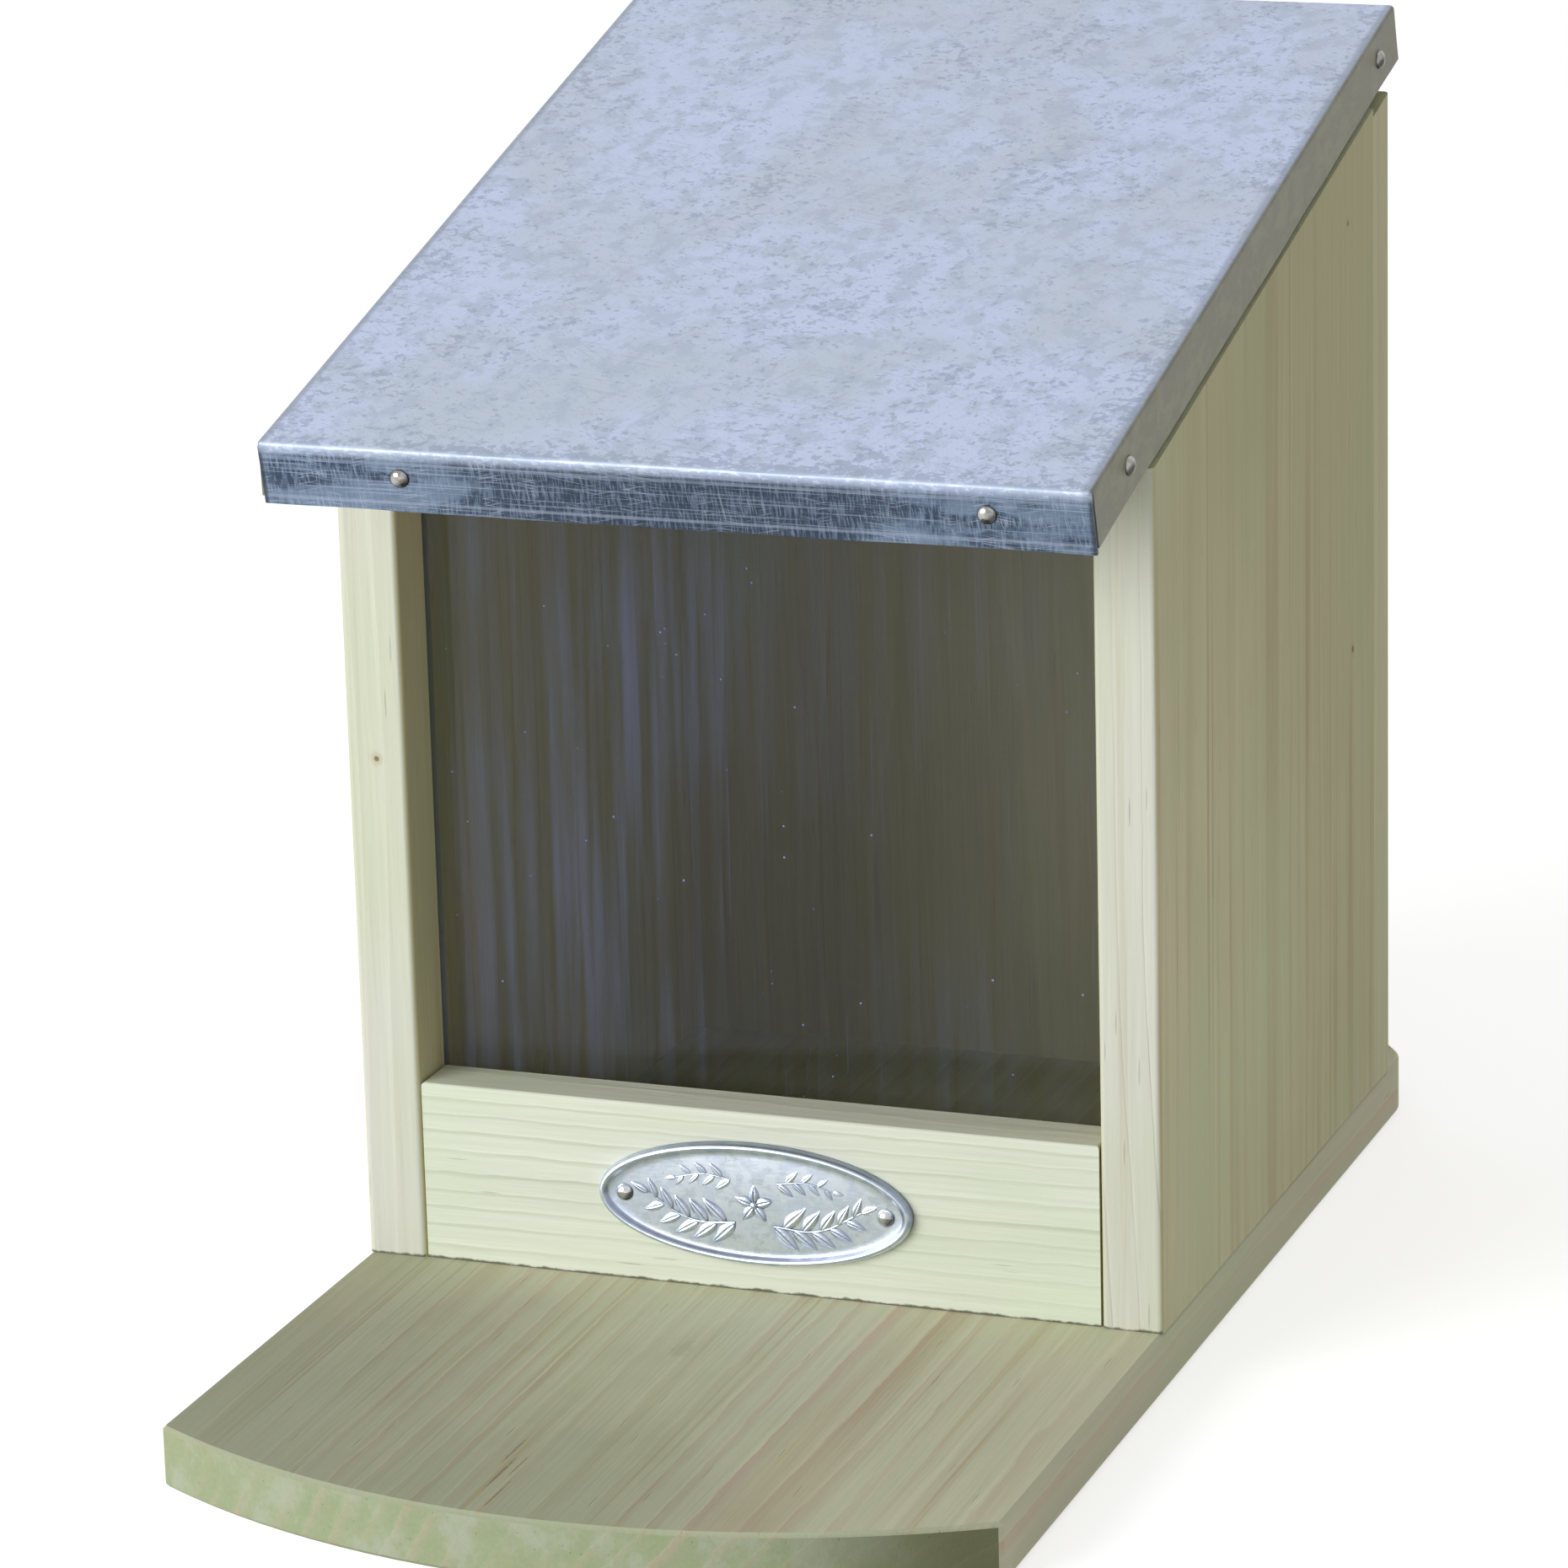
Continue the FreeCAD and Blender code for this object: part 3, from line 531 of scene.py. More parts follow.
TOP_ZINC = (0.5, 0.57, 0.68)
TOP_PALE = (0.55, 0.62, 0.82)
TOP_MOTTLE = (0.42, 0.485, 0.6)
TOP_STAIN = (0.25, 0.3, 0.41)
TOP_SCUFF = (0.3, 0.345, 0.42)
TOP_BRINK = (0.26, 0.3, 0.38)
FRONT_DARK = (0.03, 0.05, 0.085)
FRONT_PALE = (0.13, 0.18, 0.255)
FRONT_UPRIGHT = (0.18, 0.24, 0.34)
FRONT_DRAWN = (0.3, 0.37, 0.48)
FRONT_SCRATCH = (0.34, 0.4, 0.51)
FRONT_CORNER_SHADE = (0.02, 0.03, 0.045)
SIDE_LEAD = (0.165, 0.165, 0.12)
SIDE_PALE = (0.225, 0.225, 0.165)
BRIGHT_ZINC = (0.34, 0.4, 0.5)
FOLD_RUBBED = (0.23, 0.28, 0.36)
METAL_CORNER_SHADE = (0.1, 0.1, 0.1)
CORNER_SAMPLES = 8
WINDOW_TINT = (0.93, 0.95, 0.98)
WINDOW_DUST_AND_REFLECTION = (0.3, 0.4, 0.85)
WINDOW_SHADE = (0.6, 0.6, 0.6)
WINDOW_IOR = 1.24
CAP_LAYERS = ("fold", "front", "side")

# Small metalwork: clean and worn colour, roughness, patches in a millimetre, depth of pits,
# painted shade in corners and how far it reaches, and the painted dark side's direction, strength
# and colour

METALS = {
    "nail steel": ((0.42, 0.42, 0.4), (0.28, 0.27, 0.25), 0.14, 0.9, 0.01, 0.7, 1.0,
                   ((0.55, 0.0, -0.83), 0.9, (0.05, 0.045, 0.04))),
    "rivet steel": ((0.68, 0.7, 0.74), (0.5, 0.51, 0.53), 0.16, 0.9, 0.01, 0.8, 0.8,
                    ((0.8, 0.0, -0.6), 0.85, (0.07, 0.07, 0.08))),
    "badge aluminium": ((0.76, 0.83, 0.96), (0.58, 0.66, 0.8), 0.32, 0.3, 0.006, 0.8, 0.7,
                        ((0.75, 0.0, 0.66), 0.65, (0.12, 0.15, 0.24))),
    "zinc plated steel": ((0.5, 0.51, 0.53), (0.46, 0.42, 0.31), 0.34, 0.2, 0.015, 0.5, 1.2),
    "zinc plated screws": ((0.52, 0.5, 0.44), (0.4, 0.37, 0.28), 0.28, 0.6, 0.015, 0.7, 0.8),
}

# Each set of scratches: angle in degrees, spacing and length in millimetres, and the noise at
# which they begin and are full. Each front line: its height out of the sheet, and its strength.

TOP_SCRATCHES = ((12, 0.35, 16, 0.6, 0.66), (-58, 0.3, 12, 0.61, 0.67), (41, 0.4, 5, 0.6, 0.66))
FRONT_SCRATCHES = ((9, 0.22, 14, 0.58, 0.64), (-13, 0.22, 10, 0.6, 0.66), (82, 0.26, 5, 0.58, 0.66))
FRONT_LINES = ((1.4, 0.35), (7.4, 0.3))


def scratches(pen, place, sets):
    """Long thin marks in the XY plane of place, the marks of one set all at one angle."""
    marks = []
    for angle, spacing, length, low, high in sets:
        turned = pen.one("Mapping", {"Vector": place, "Rotation": (0, 0, math.radians(angle))})
        lines = pen.noise(turned, (1 / length, 1 / spacing, 1 / length), 1.0)
        broken = pen.noise(turned, (2.5 / length, 0.05, 0.05))
        marks.append(pen.times(pen.step(lines, low, high), pen.step(broken, 0.45, 0.6)))
    return pen.total(*marks)


def galvanised_sheet():
    """Weathered zinc: mottled and smudged on top, cross-scratched and dark on the front flange, the
    dark partly painted reflection, and a dull grey at the sides that is painted reflection and
    shade.
    Places are in the roof's frame: X across, Y up the slope, Z out."""
    material, pen = new_material("galvanised sheet")
    place = pen.place((-ROOF_SLOPE, 0.0, 0.0), ROOF_SEAT)
    across, along, out = pen.parts(place)
    aside = pen.math("ABSOLUTE", across)
    fold, front, side = (
        pen.add("Attribute", attribute_name=name).outputs["Fac"] for name in CAP_LAYERS
    )
    cloud = pen.noise(place, (0.036, 0.034, 0.03), 5.0, 0.6)
    mottle = pen.noise(place, (0.22, 0.18, 0.3), 8.0, 0.7)
    dash = pen.noise(place, (0.8, 0.95, 1.6), 4.0, 0.62)
    gathered = pen.noise(place, (0.055, 0.045, 0.05), 3.0, 0.6)
    grain = pen.noise(place, (2.6, 2.6, 2.6))
    rubbed = pen.noise(place, (0.09, 1.1, 1.1), 3.0, 0.55)

    rim = pen.math("MAXIMUM", pen.step(aside, 50.0, 60.0), pen.step(along, -16.0, -24.0))
    # More stain in a narrow band just behind the front fold.
    front_fold_band = pen.step(along, -22.2, -23.6, 0.0, 0.09)
    dark = pen.swing(pen.total(dash, front_fold_band, pen.times(rim, 0.06)), (gathered, 0.34))
    top = pen.coats(
        TOP_ZINC,
        (pen.step(cloud, 0.38, 0.62), TOP_PALE),
        (pen.step(mottle, 0.47, 0.6, 0.0, 0.7), TOP_MOTTLE),
        (pen.times(pen.step(dark, 0.58, 0.64), 0.5), TOP_STAIN),
        (pen.times(scratches(pen, place, TOP_SCRATCHES), 0.25), TOP_SCUFF),
        (pen.step(aside, 58.8, 59.8, 0.0, 0.65), TOP_BRINK),
    )

    plane = pen.joined(across, out)
    patch = pen.noise(plane, (0.05, 0.15, 1.0), 5.0, 0.62)
    patch = pen.total(patch, pen.step(aside, 14.0, 38.0, -0.24, 0.02))
    upright = pen.noise(plane, (2.6, 0.34, 1.0), 3.0, 0.6)
    drawn = pen.noise(plane, (0.035, 3.0, 1.0))
    # Partly painted reflection: the front flange is far darker than the top, with real scratches
    # and smears on it.
    steel = pen.coats(
        FRONT_DARK,
        (pen.step(patch, 0.43, 0.57), FRONT_PALE),
        (pen.step(upright, 0.47, 0.6, 0.0, 0.55), FRONT_UPRIGHT),
        (pen.step(drawn, 0.55, 0.64, 0.0, 0.45), FRONT_DRAWN),
        (pen.times(scratches(pen, plane, FRONT_SCRATCHES), 0.42), FRONT_SCRATCH),
    )
    # Painted reflection: darker still in the middle of the flange.
    steel = pen.toned(steel, pen.step(aside, 10.0, 42.0, 0.74, 1.0))
    lines = pen.total(*(
        pen.step(pen.math("ABSOLUTE", pen.less(out, height)), 0.1, 0.35, strength, 0.0)
        for height, strength in FRONT_LINES
    ))
    # Painted shade: a dark line at each end of the front flange, at the corners.
    painted_dark = pen.step(aside, 59.6, 60.3, 0.0, 0.8)
    steel = pen.coats(steel, (lines, BRIGHT_ZINC), (painted_dark, FRONT_CORNER_SHADE))

    # Painted reflection and shade: the side flanges are a dull olive grey, far darker than the top.
    lead = pen.mix(pen.step(mottle, 0.4, 0.65), SIDE_LEAD, SIDE_PALE)
    bright = pen.mix(pen.step(rubbed, 0.5, 0.7), BRIGHT_ZINC, FOLD_RUBBED)
    folded = pen.step(fold, 0.35, 1.0, 0.0, 0.85)
    colour = pen.coats(top, (front, steel), (side, lead), (folded, bright))
    colour = pen.toned(colour, pen.swing(1.0, (grain, 0.14), (mottle, 0.12)))
    rough = pen.total(pen.swing(0.48, (mottle, 0.3), (grain, 0.1)), pen.times(fold, 0.06))
    height = pen.swing(0.0, (mottle, 0.06), (grain, 0.02), (dash, 0.03))
    height = pen.times(height, pen.step(fold, 0.0, 0.3, 1.0, 0.15))
    pen.surface(pen.shader(colour, rough, height, {"Metallic": 0.6}))
    return material


def bright_metal(name, clean, worn, roughness, mottle, pits, corner_shade, reach, painted_dark_side=None):
    """Small bright metalwork, with dull patches, fine pits, painted shade in its corners and a
    painted dark side for reflection and shade.
    """
    material, pen = new_material(name)
    place = pen.place()
    broad = pen.noise(place, (mottle, mottle, mottle), 4.0, 0.6)
    fine = pen.noise(place, (4.0, 4.0, 4.0), 3.0, 0.6)
    rubbed = pen.noise(place, (0.5, 3.5, 3.5))
    smudge = pen.noise(place, (0.55, 0.55, 0.6), 5.0, 0.62)
    colour = pen.mix(pen.step(broad, 0.42, 0.68), clean, worn)
    colour = pen.mix(pen.step(smudge, 0.5, 0.57, 0.0, 0.65), colour, worn)
    colour = pen.toned(colour, pen.swing(1.0, (fine, 0.12)))
    # Painted shade: darker in corners and crevices, as far as ambient occlusion finds them.
    corner = pen.add("AmbientOcclusion", {"Distance": reach * MM}, samples=CORNER_SAMPLES)
    colour = pen.mix(pen.step(corner.outputs["AO"], 0.45, 0.9, corner_shade, 0.0), colour, METAL_CORNER_SHADE)
    # Painted reflection and shade: the faces that turn the given way are darkened.
    if painted_dark_side:
        way, share, painted_dark = painted_dark_side
        turned = pen.vector("DOT_PRODUCT", pen.add("TexCoord").outputs["Normal"], way)
        colour = pen.mix(pen.step(turned, 0.1, 0.6, 0.0, share), colour, painted_dark)
    rough = pen.swing(roughness, (broad, 0.24), (rubbed, 0.12))
    height = pen.swing(0.0, (fine, pits), (rubbed, pits))
    pen.surface(pen.shader(colour, rough, height, {"Metallic": 1.0}))
    return material


def clear_window():
    """Clear plastic with wipe marks, hairlines, specks of dust and a faint bluish haze that is
    thicker at the left, partly painted reflection. Lamps shine through it."""
    material, pen = new_material("clear window")
    place = pen.place()
    wiped = pen.noise(place, (0.5, 0.5, 0.016), 3.0, 0.6)
    cloud = pen.noise(place, (0.03, 0.03, 0.02))
    # Partly painted reflection: a bluish veil over the wipe marks, thicker at the left.
    haze_and_reflection = pen.times(
        pen.step(wiped, 0.36, 0.7),
        pen.step(cloud, 0.35, 0.65, 0.25, 1.0),
        pen.step(pen.parts(place)[0], -50.0, 20.0, 1.0, 0.3),
    )
    cell = pen.add("TexVoronoi", {"Vector": place, "Scale": 0.45}).outputs
    size = pen.times(pen.math("POWER", pen.parts(cell[1])[0], 6.0), 0.09)
    speck = pen.math("LESS_THAN", cell[0], size)
    hair = pen.step(pen.noise(place, (3.2, 3.2, 0.02), 1.0), 0.7, 0.76)
    veil = pen.total(pen.times(haze_and_reflection, 0.11), pen.times(speck, 0.6))
    veil = pen.math("ADD", veil, pen.times(hair, 0.08), clamp=True)
    rough = pen.total(0.015, pen.times(haze_and_reflection, 0.05), pen.times(hair, 0.1))
    clear = {"Transmission Weight": 1.0, "IOR": WINDOW_IOR}
    pane = pen.shader(WINDOW_TINT, rough, pen.swing(0.0, (cloud, 0.08)), clear)
    dust_and_reflection = pen.one("BsdfDiffuse", {"Color": WINDOW_DUST_AND_REFLECTION})
    veiled = pen.one("MixShader", {0: veil, 1: pane, 2: dust_and_reflection})
    path = pen.add("LightPath").outputs
    shone = pen.math("MAXIMUM", path["Is Shadow Ray"], path["Is Diffuse Ray"])
    shade = pen.one("BsdfTransparent", {"Color": WINDOW_SHADE})
    pen.surface(pen.one("MixShader", {0: shone, 1: veiled, 2: shade}))
    return material


# Mesh building

ROOF_TURN = Matrix.Rotation(ROOF_SLOPE, 4, "X")
ROOF_FRAME = Matrix.Scale(MM, 4) @ Matrix.Translation(ROOF_SEAT) @ ROOF_TURN


def box_in_roof(node):
    """A CAD node's lowest and highest corner in the roof's frame."""
    back = ROOF_FRAME.inverted()
    points = [back @ vertex.co for vertex in NODES[node].data.vertices]
    return [Vector(end(point[axis] for point in points) for axis in range(3)) for end in (min, max)]


def linked(name, data):
    """A new object in the scene."""
    item = bpy.data.objects.new(name, data)
    bpy.context.scene.collection.objects.link(item)
    return item


def new_piece(name, mesh, body, slot, *replaced, smooth_below):
    """Links a finished mesh as a piece that rides on a body and stands for CAD nodes."""
    mesh.name = name
    mesh.shade_smooth()
    mesh.set_sharp_from_angle(angle=math.radians(smooth_below))
    piece = linked(name, mesh)
    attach(piece, body)
    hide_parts(*replaced)


def mesh_of(bm, name):
    """A mesh from a bmesh. The bmesh goes."""
    mesh = bpy.data.meshes.new(name)
    bm.to_mesh(mesh)
    bm.free()
    return mesh


def plain_mesh(holder):
    """The evaluated shape of an object as a mesh of its own. The object goes."""
    bpy.context.view_layer.update()
    graph = bpy.context.evaluated_depsgraph_get()
    mesh = bpy.data.meshes.new_from_object(holder.evaluated_get(graph))
    holder.modifiers.clear()
    bpy.data.objects.remove(holder)
    return mesh


def grid(bm, rows, columns, point, outward):
    """Faces through point(row, column), with their fronts on the outward side."""
    lines = [[bm.verts.new(point(row, column)) for column in columns] for row in rows]
    for first, second in zip(lines, lines[1:]):
        for corners in zip(first, first[1:], second[1:], second):
            face = bm.faces.new(corners)
            face.normal_update()
            if face.normal.dot(outward(face.calc_center_median())) < 0:
                face.normal_flip()


def spread(start, end, count):
    return [start + (end - start) * index / count for index in range(count + 1)]


def held(value, low=0.0, high=1.0):
    return max(low, min(high, value))


def ripple(x, y, length, seed):
    """A smooth random number from -1 to 1 that changes over length."""
    return noise.noise(Vector((x / length, y / length, seed)))


# Roof cap

def roof_cap():
    """The galvanised cap: one sheet folded down at the front and the sides, a little uneven."""
    low, high = box_in_roof("roof_sheet")
    half, front, rear, top = high.x, low.y, high.y, high.z
    side, crest, fore = half - FOLD_RADIUS, top - FOLD_RADIUS, front + FOLD_RADIUS

    def out(point):
        """Away from the sheet's inside, for any point of its skin."""
        return point - Vector((held(point.x, -side, side), max(fore, point.y), min(crest, point.z)))

    bm = bmesh.new()
    widths = spread(-side, side, round(2 * side / CAP_CELL))
    depths = spread(fore, rear, round((rear - fore) / CAP_CELL))
    bends = [(math.sin(turn), math.cos(turn)) for turn in spread(0.0, math.pi / 2, FOLD_STEPS)]
    drops = spread(crest, low.z, FLANGE_STEPS)
    fronts = spread(crest, low.z - FRONT_FLANGE_DROP, FLANGE_STEPS)
    ends = spread(side, half - FLANGE_END_TRIM, 2)
    grid(bm, widths, depths, lambda x, y: Vector((x, y, top)), out)
    grid(bm, widths, bends, lambda x, bend: Vector((
        x, fore - FOLD_RADIUS * bend[0], crest + FOLD_RADIUS * bend[1])), out)
    grid(bm, widths, fronts, lambda x, z: Vector((x, front, z)), out)
    for hand in (-1, 1):
        core = Vector((hand * side, fore, crest))
        grid(bm, bends, depths, lambda bend, y: Vector((
            hand * (side + FOLD_RADIUS * bend[0]), y, crest + FOLD_RADIUS * bend[1])), out)
        grid(bm, drops, depths, lambda z, y: Vector((hand * half, y, z)), out)
        grid(bm, bends, bends, lambda bend, fall: core + FOLD_RADIUS * Vector((
            hand * bend[0], -fall[0], bend[1] * fall[1] + CORNER_NUDGE)).normalized(), out)
        grid(bm, fronts, ends, lambda z, x: Vector((hand * x, front, z)), out)
    bmesh.ops.remove_doubles(bm, verts=bm.verts, dist=CAP_WELD)

    nails = [place for place, way in cap_nail_places()]
    for vertex in bm.verts:
        point = vertex.co
        away = out(point).normalized()
        drop = max(0.0, (crest - point.z) / (crest - low.z))
        if drop > 0:
            gap = min((point - nail).length for nail in nails)
            free = 1 - math.exp(-((gap / NAIL_GRIP_REACH) ** 2))
            wave = ripple(point.x, point.y, FLANGE_BULGE_LENGTH, BULGE_SEED)
            wave = max(0.0, FLANGE_WAVE_MEAN + FLANGE_WAVE_SWING * wave)
            lift = FLANGE_BULGE * drop ** FLANGE_BULGE_CURVE * free * wave
            if point.x < -side and point.y >= fore:
                fade = ((point.y - fore) / CORNER_FLARE_LENGTH) ** 2
                lift += CORNER_FLARE * drop * math.exp(-fade)
            edge = ripple(point.x, point.y, FLANGE_EDGE_LENGTH, EDGE_SEED)
            edge = Vector((0, 0, FLANGE_EDGE_WANDER * drop * edge))
            vertex.co = point + away * lift + edge
        else:
            still = (side - abs(point.x)) / SIDE_STILL_LENGTH + 1
            still = held(min(still, (rear - point.y) / REAR_STILL_LENGTH))
            lift = TOP_RIPPLE * (1 + ripple(point.x, point.y, TOP_RIPPLE_LENGTH, TOP_SEED))
            vertex.co = point + away * lift * still * max(0.0, away.z)

    fold, front_face, side_face = [bm.verts.layers.float.new(name) for name in CAP_LAYERS]
    for vertex in bm.verts:
        away = out(vertex.co).normalized()
        aside, ahead = abs(away.x), abs(away.y)
        flange = vertex.co.z < crest - FOLD_FOOT
        bent = held((1 - max(aside, ahead, abs(away.z))) / FOLD_EASE)
        vertex[fold] = 0.0 if flange else bent * (1.0 if aside < SIDE_TURN else SIDE_FOLD_SHARE)
        outer = vertex.co.y < fore - FRONT_FACE_DEPTH and ahead > HALF_TURN
        vertex[front_face] = float(flange and outer)
        vertex[side_face] = held((aside - SIDE_TURN) / SIDE_EASE) if ahead < HALF_TURN else 0.0

    holder = linked("roof cap skin", mesh_of(bm, "roof cap skin"))
    thicken = holder.modifiers.new("thickness", "SOLIDIFY")
    thicken.thickness = SHEET_THICKNESS
    thicken.offset = -1.0
    thicken.use_even_offset = True
    mesh = plain_mesh(holder)
    mesh.transform(ROOF_FRAME)
    mesh.materials.clear()
    mesh.materials.append(galvanised_sheet())
    new_piece("roof_cap", mesh, "lid", "galvanised_sheet", "roof_sheet", smooth_below=40)


def cap_nail_places():
    """Each cap nail's seat and the way its head looks, in the roof's frame."""
    low, high = box_in_roof("roof_sheet")
    middle = (low.z + high.z) / 2
    radius = CAP_NAIL["Head Radius"]
    first, last = box_in_roof("front_roof_nails")
    places = [(Vector((x, low.y, middle)), Vector((0, -1, 0)))
              for x in (first.x + radius, last.x - radius)]
    for node, hand in (("left_roof_nails", -1), ("right_roof_nails", 1)):
        first, last = box_in_roof(node)
        places += [(Vector((hand * high.x, y, middle)), Vector((hand, 0, 0)))
                   for y in (first.y + radius, last.y - radius)]
    return places


# Shapes by Geometry Nodes

def grown(name, data, tree, chosen):
    """The plain mesh that a tree makes from the data, with the inputs chosen by name."""
    tree.is_modifier = True
    holder = linked(name, data)
    modifier = holder.modifiers.new(name, "NODES")
    modifier.node_group = tree
    for socket in tree.interface.items_tree:
        if socket.in_out == "INPUT" and socket.name in chosen:
            modifier[socket.identifier] = chosen[socket.name]
    return plain_mesh(holder)


# Domed nails

def float_curve(pen, value, points):
    """A number that follows straight runs through the points given."""
    node = pen.add("FloatCurve", {"Value": value})
    curve = node.mapping.curves[0]
    for x, y in points[1:-1]:
        curve.points.new(x, y)
    for point, (x, y) in zip(curve.points, points):
        point.location = (x, y)
        point.handle_type = "VECTOR"
    node.mapping.update()
    return node.outputs[0]


def domed_nail_tree():
    """Turns a nail on a lathe and sets one on each point, its head along the point's way."""
    tree, pen, given = new_tree("domed nails", "Geometry", {
        "Geometry": ("Places",), "Float": (*CAP_NAIL, "Lean"),
        "Int": ("Seed",), "Material": ("Finish",),
    }, {"Geometry": ("Nails",)})
    cells = {"Vertices X": NAIL_SIDES + 1, "Vertices Y": NAIL_STEPS + 1}
    board = pen.shape("MeshGrid", {"Size X": 1.0, "Size Y": 1.0} | cells)
    where = pen.parts(pen.shape("InputPosition"))
    turn = pen.times(pen.total(where[0], 0.5), 2 * math.pi)
    run = pen.total(where[1], 0.5)
    brim, neck, tip = DOME_STEPS / NAIL_STEPS, (DOME_STEPS + 1) / NAIL_STEPS, TIP_STEP / NAIL_STEPS
    head, rise = (
        float_curve(pen, run, [
            (index / NAIL_STEPS, way(angle))
            for index, angle in enumerate(spread(0.0, math.pi / 2, DOME_STEPS))
        ] + [(neck, 0), (1, 0)])
        for way in (math.sin, math.cos)
    )
    shank = float_curve(pen, run, [(0, 0), (brim, 0), (neck, 1), (tip, 1), (1, 0)])
    depth = float_curve(pen, run, [(0, 0), (neck, 0), (tip, TIP_DEPTH), (1, 1)])
    radius = pen.total(pen.times(head, given["Head Radius"]),
                       pen.times(shank, given["Shank Radius"]))
    height = pen.less(pen.times(rise, given["Head Height"]), pen.times(depth, given["Length"]))
    point = pen.joined(pen.times(radius, pen.math("COSINE", turn)),
                       pen.times(radius, pen.math("SINE", turn)), height)
    nail = pen.shape("SetPosition", {0: board, "Position": point})
    nail = pen.shape("MergeByDistance", {0: nail, "Distance": NAIL_WELD * MM})
    nail = pen.shape("FlipFaces", {0: nail})

    way = pen.shape("InputNamedAttribute", {"Name": "way"}, data_type="FLOAT_VECTOR")
    facing = pen.one("FunctionNodeAlignRotationToVector", {"Vector": way}, axis="Z")
    back = pen.times(given["Lean"], -1.0)
    limits = {0: pen.joined(back, back, -math.pi)}
    limits[1] = pen.joined(given["Lean"], given["Lean"], math.pi)
    limits["Seed"] = given["Seed"]
    chance = pen.one("FunctionNodeRandomValue", limits, data_type="FLOAT_VECTOR")
    leaning = pen.one("FunctionNodeEulerToRotation", {0: chance})
    turned = {0: facing, 1: leaning}
    turned = pen.one("FunctionNodeRotateRotation", turned, rotation_space="LOCAL")
    inputs = {"Points": given["Places"], "Instance": nail, "Rotation": turned}
    nails = pen.shape("InstanceOnPoints", inputs)
    nails = pen.shape("RealizeInstances", {0: nails})
    struck = pen.noise(pen.shape("InputPosition"), (DENT_SCALE,) * 3, 1.0)
    push = pen.times(pen.less(struck, DENT_BIAS), DENT_DEPTH * MM)
    push = pen.stretched(pen.shape("InputNormal"), pen.joined(push, push, push))
    nails = pen.shape("SetPosition", {0: nails, "Offset": push})
    nails = pen.shape("SetShadeSmooth", {0: nails})
    nails = pen.shape("SetMaterial", {0: nails, "Material": given["Finish"]})
    pen.add("NodeGroupOutput", {0: nails})
    return tree


def set_nails(tree, places, sizes, seed, finish):
    """Runs the nail tree on a set of places, in metres, and returns a plain mesh."""
    mesh = bpy.data.meshes.new("nail places")
    mesh.from_pydata([place for place, way in places], [], [])
    ways = mesh.attributes.new("way", "FLOAT_VECTOR", "POINT")
    for entry, (place, way) in zip(ways.data, places):
        entry.vector = way
    chosen = {name: value * MM for name, value in sizes.items()}
    chosen |= {"Lean": NAIL_LEAN, "Seed": seed, "Finish": finish}
    return grown("nail places", mesh, tree, chosen)


def nails_and_pins(steel, rivet_steel):
    """The cap's nails ride on the lid, the badge's pins on the box."""
    tree = domed_nail_tree()
    turn = ROOF_TURN.to_3x3()
    places = [(ROOF_FRAME @ place, turn @ way) for place, way in cap_nail_places()]
    mesh = set_nails(tree, places, CAP_NAIL, NAIL_SEED, steel)
    new_piece("cap_nails", mesh, "lid", "nail_steel",
              "front_roof_nails", "left_roof_nails", "right_roof_nails", smooth_below=50)
    low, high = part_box("badge_pins")
    radius = BADGE_PIN["Head Radius"] * MM
    seat = low.y + BADGE_PIN["Head Height"] * MM
    middle = (low.z + high.z) / 2
    places = [(Vector((x, seat, middle)), Vector((0, -1, 0)))
              for x in (low.x + radius, high.x - radius)]
    mesh = set_nails(tree, places, BADGE_PIN, PIN_SEED, rivet_steel)
    new_piece("badge_rivets", mesh, "box", "nail_steel", "badge_pins", smooth_below=50)


# Badge

def leaf_mesh():
    """One leaf, stalk at the origin and tip along X, with a creased middle and side veins.
    Its outline is fullest just before half its length."""
    bm = bmesh.new()

    def skin(u, v, lifted):
        run, side = u / LEAF_STEPS, v / LEAF_HALF_STEPS
        width = LEAF_WIDTH / 2 * math.sin(math.pi * run ** 0.85) ** 0.8 * (1.08 - 0.35 * run)
        crown = (1 - side * side) * math.sin(math.pi * min(1.0, run + 0.06)) ** 0.4
        crease = math.exp(-((side / LEAF_CREASE_WIDTH) ** 2))
        vein = 0.5 + 0.5 * math.cos(2 * math.pi * (run * LEAF_VEINS - abs(side) * LEAF_VEIN_SLANT))
        rise = LEAF_RISE * (crown * (0.85 + 0.15 * vein) - LEAF_CREASE_DEPTH * crease * crown)
        rim = 0.0 if abs(side) == 1 else rise
        return Vector((LEAF_LENGTH * run, width * side, rim if lifted else -LEAF_SINK))

    rows, columns = range(LEAF_STEPS + 1), range(-LEAF_HALF_STEPS, LEAF_HALF_STEPS + 1)
    for lifted, way in ((True, Vector((0, 0, 1))), (False, Vector((0, 0, -1)))):
        grid(bm, rows, columns, lambda u, v: skin(u, v, lifted), lambda point: way)
    for v in (-LEAF_HALF_STEPS, LEAF_HALF_STEPS):
        hand = Vector((0, v, 0))
        grid(bm, rows, (True, False), lambda u, lifted: skin(u, v, lifted), lambda point: hand)
    bmesh.ops.remove_doubles(bm, verts=bm.verts, dist=LEAF_WELD)
    bmesh.ops.dissolve_degenerate(bm, dist=LEAF_LEAST_EDGE, edges=bm.edges)
    mesh = mesh_of(bm, "leaf")
    mesh.shade_smooth()
    return mesh


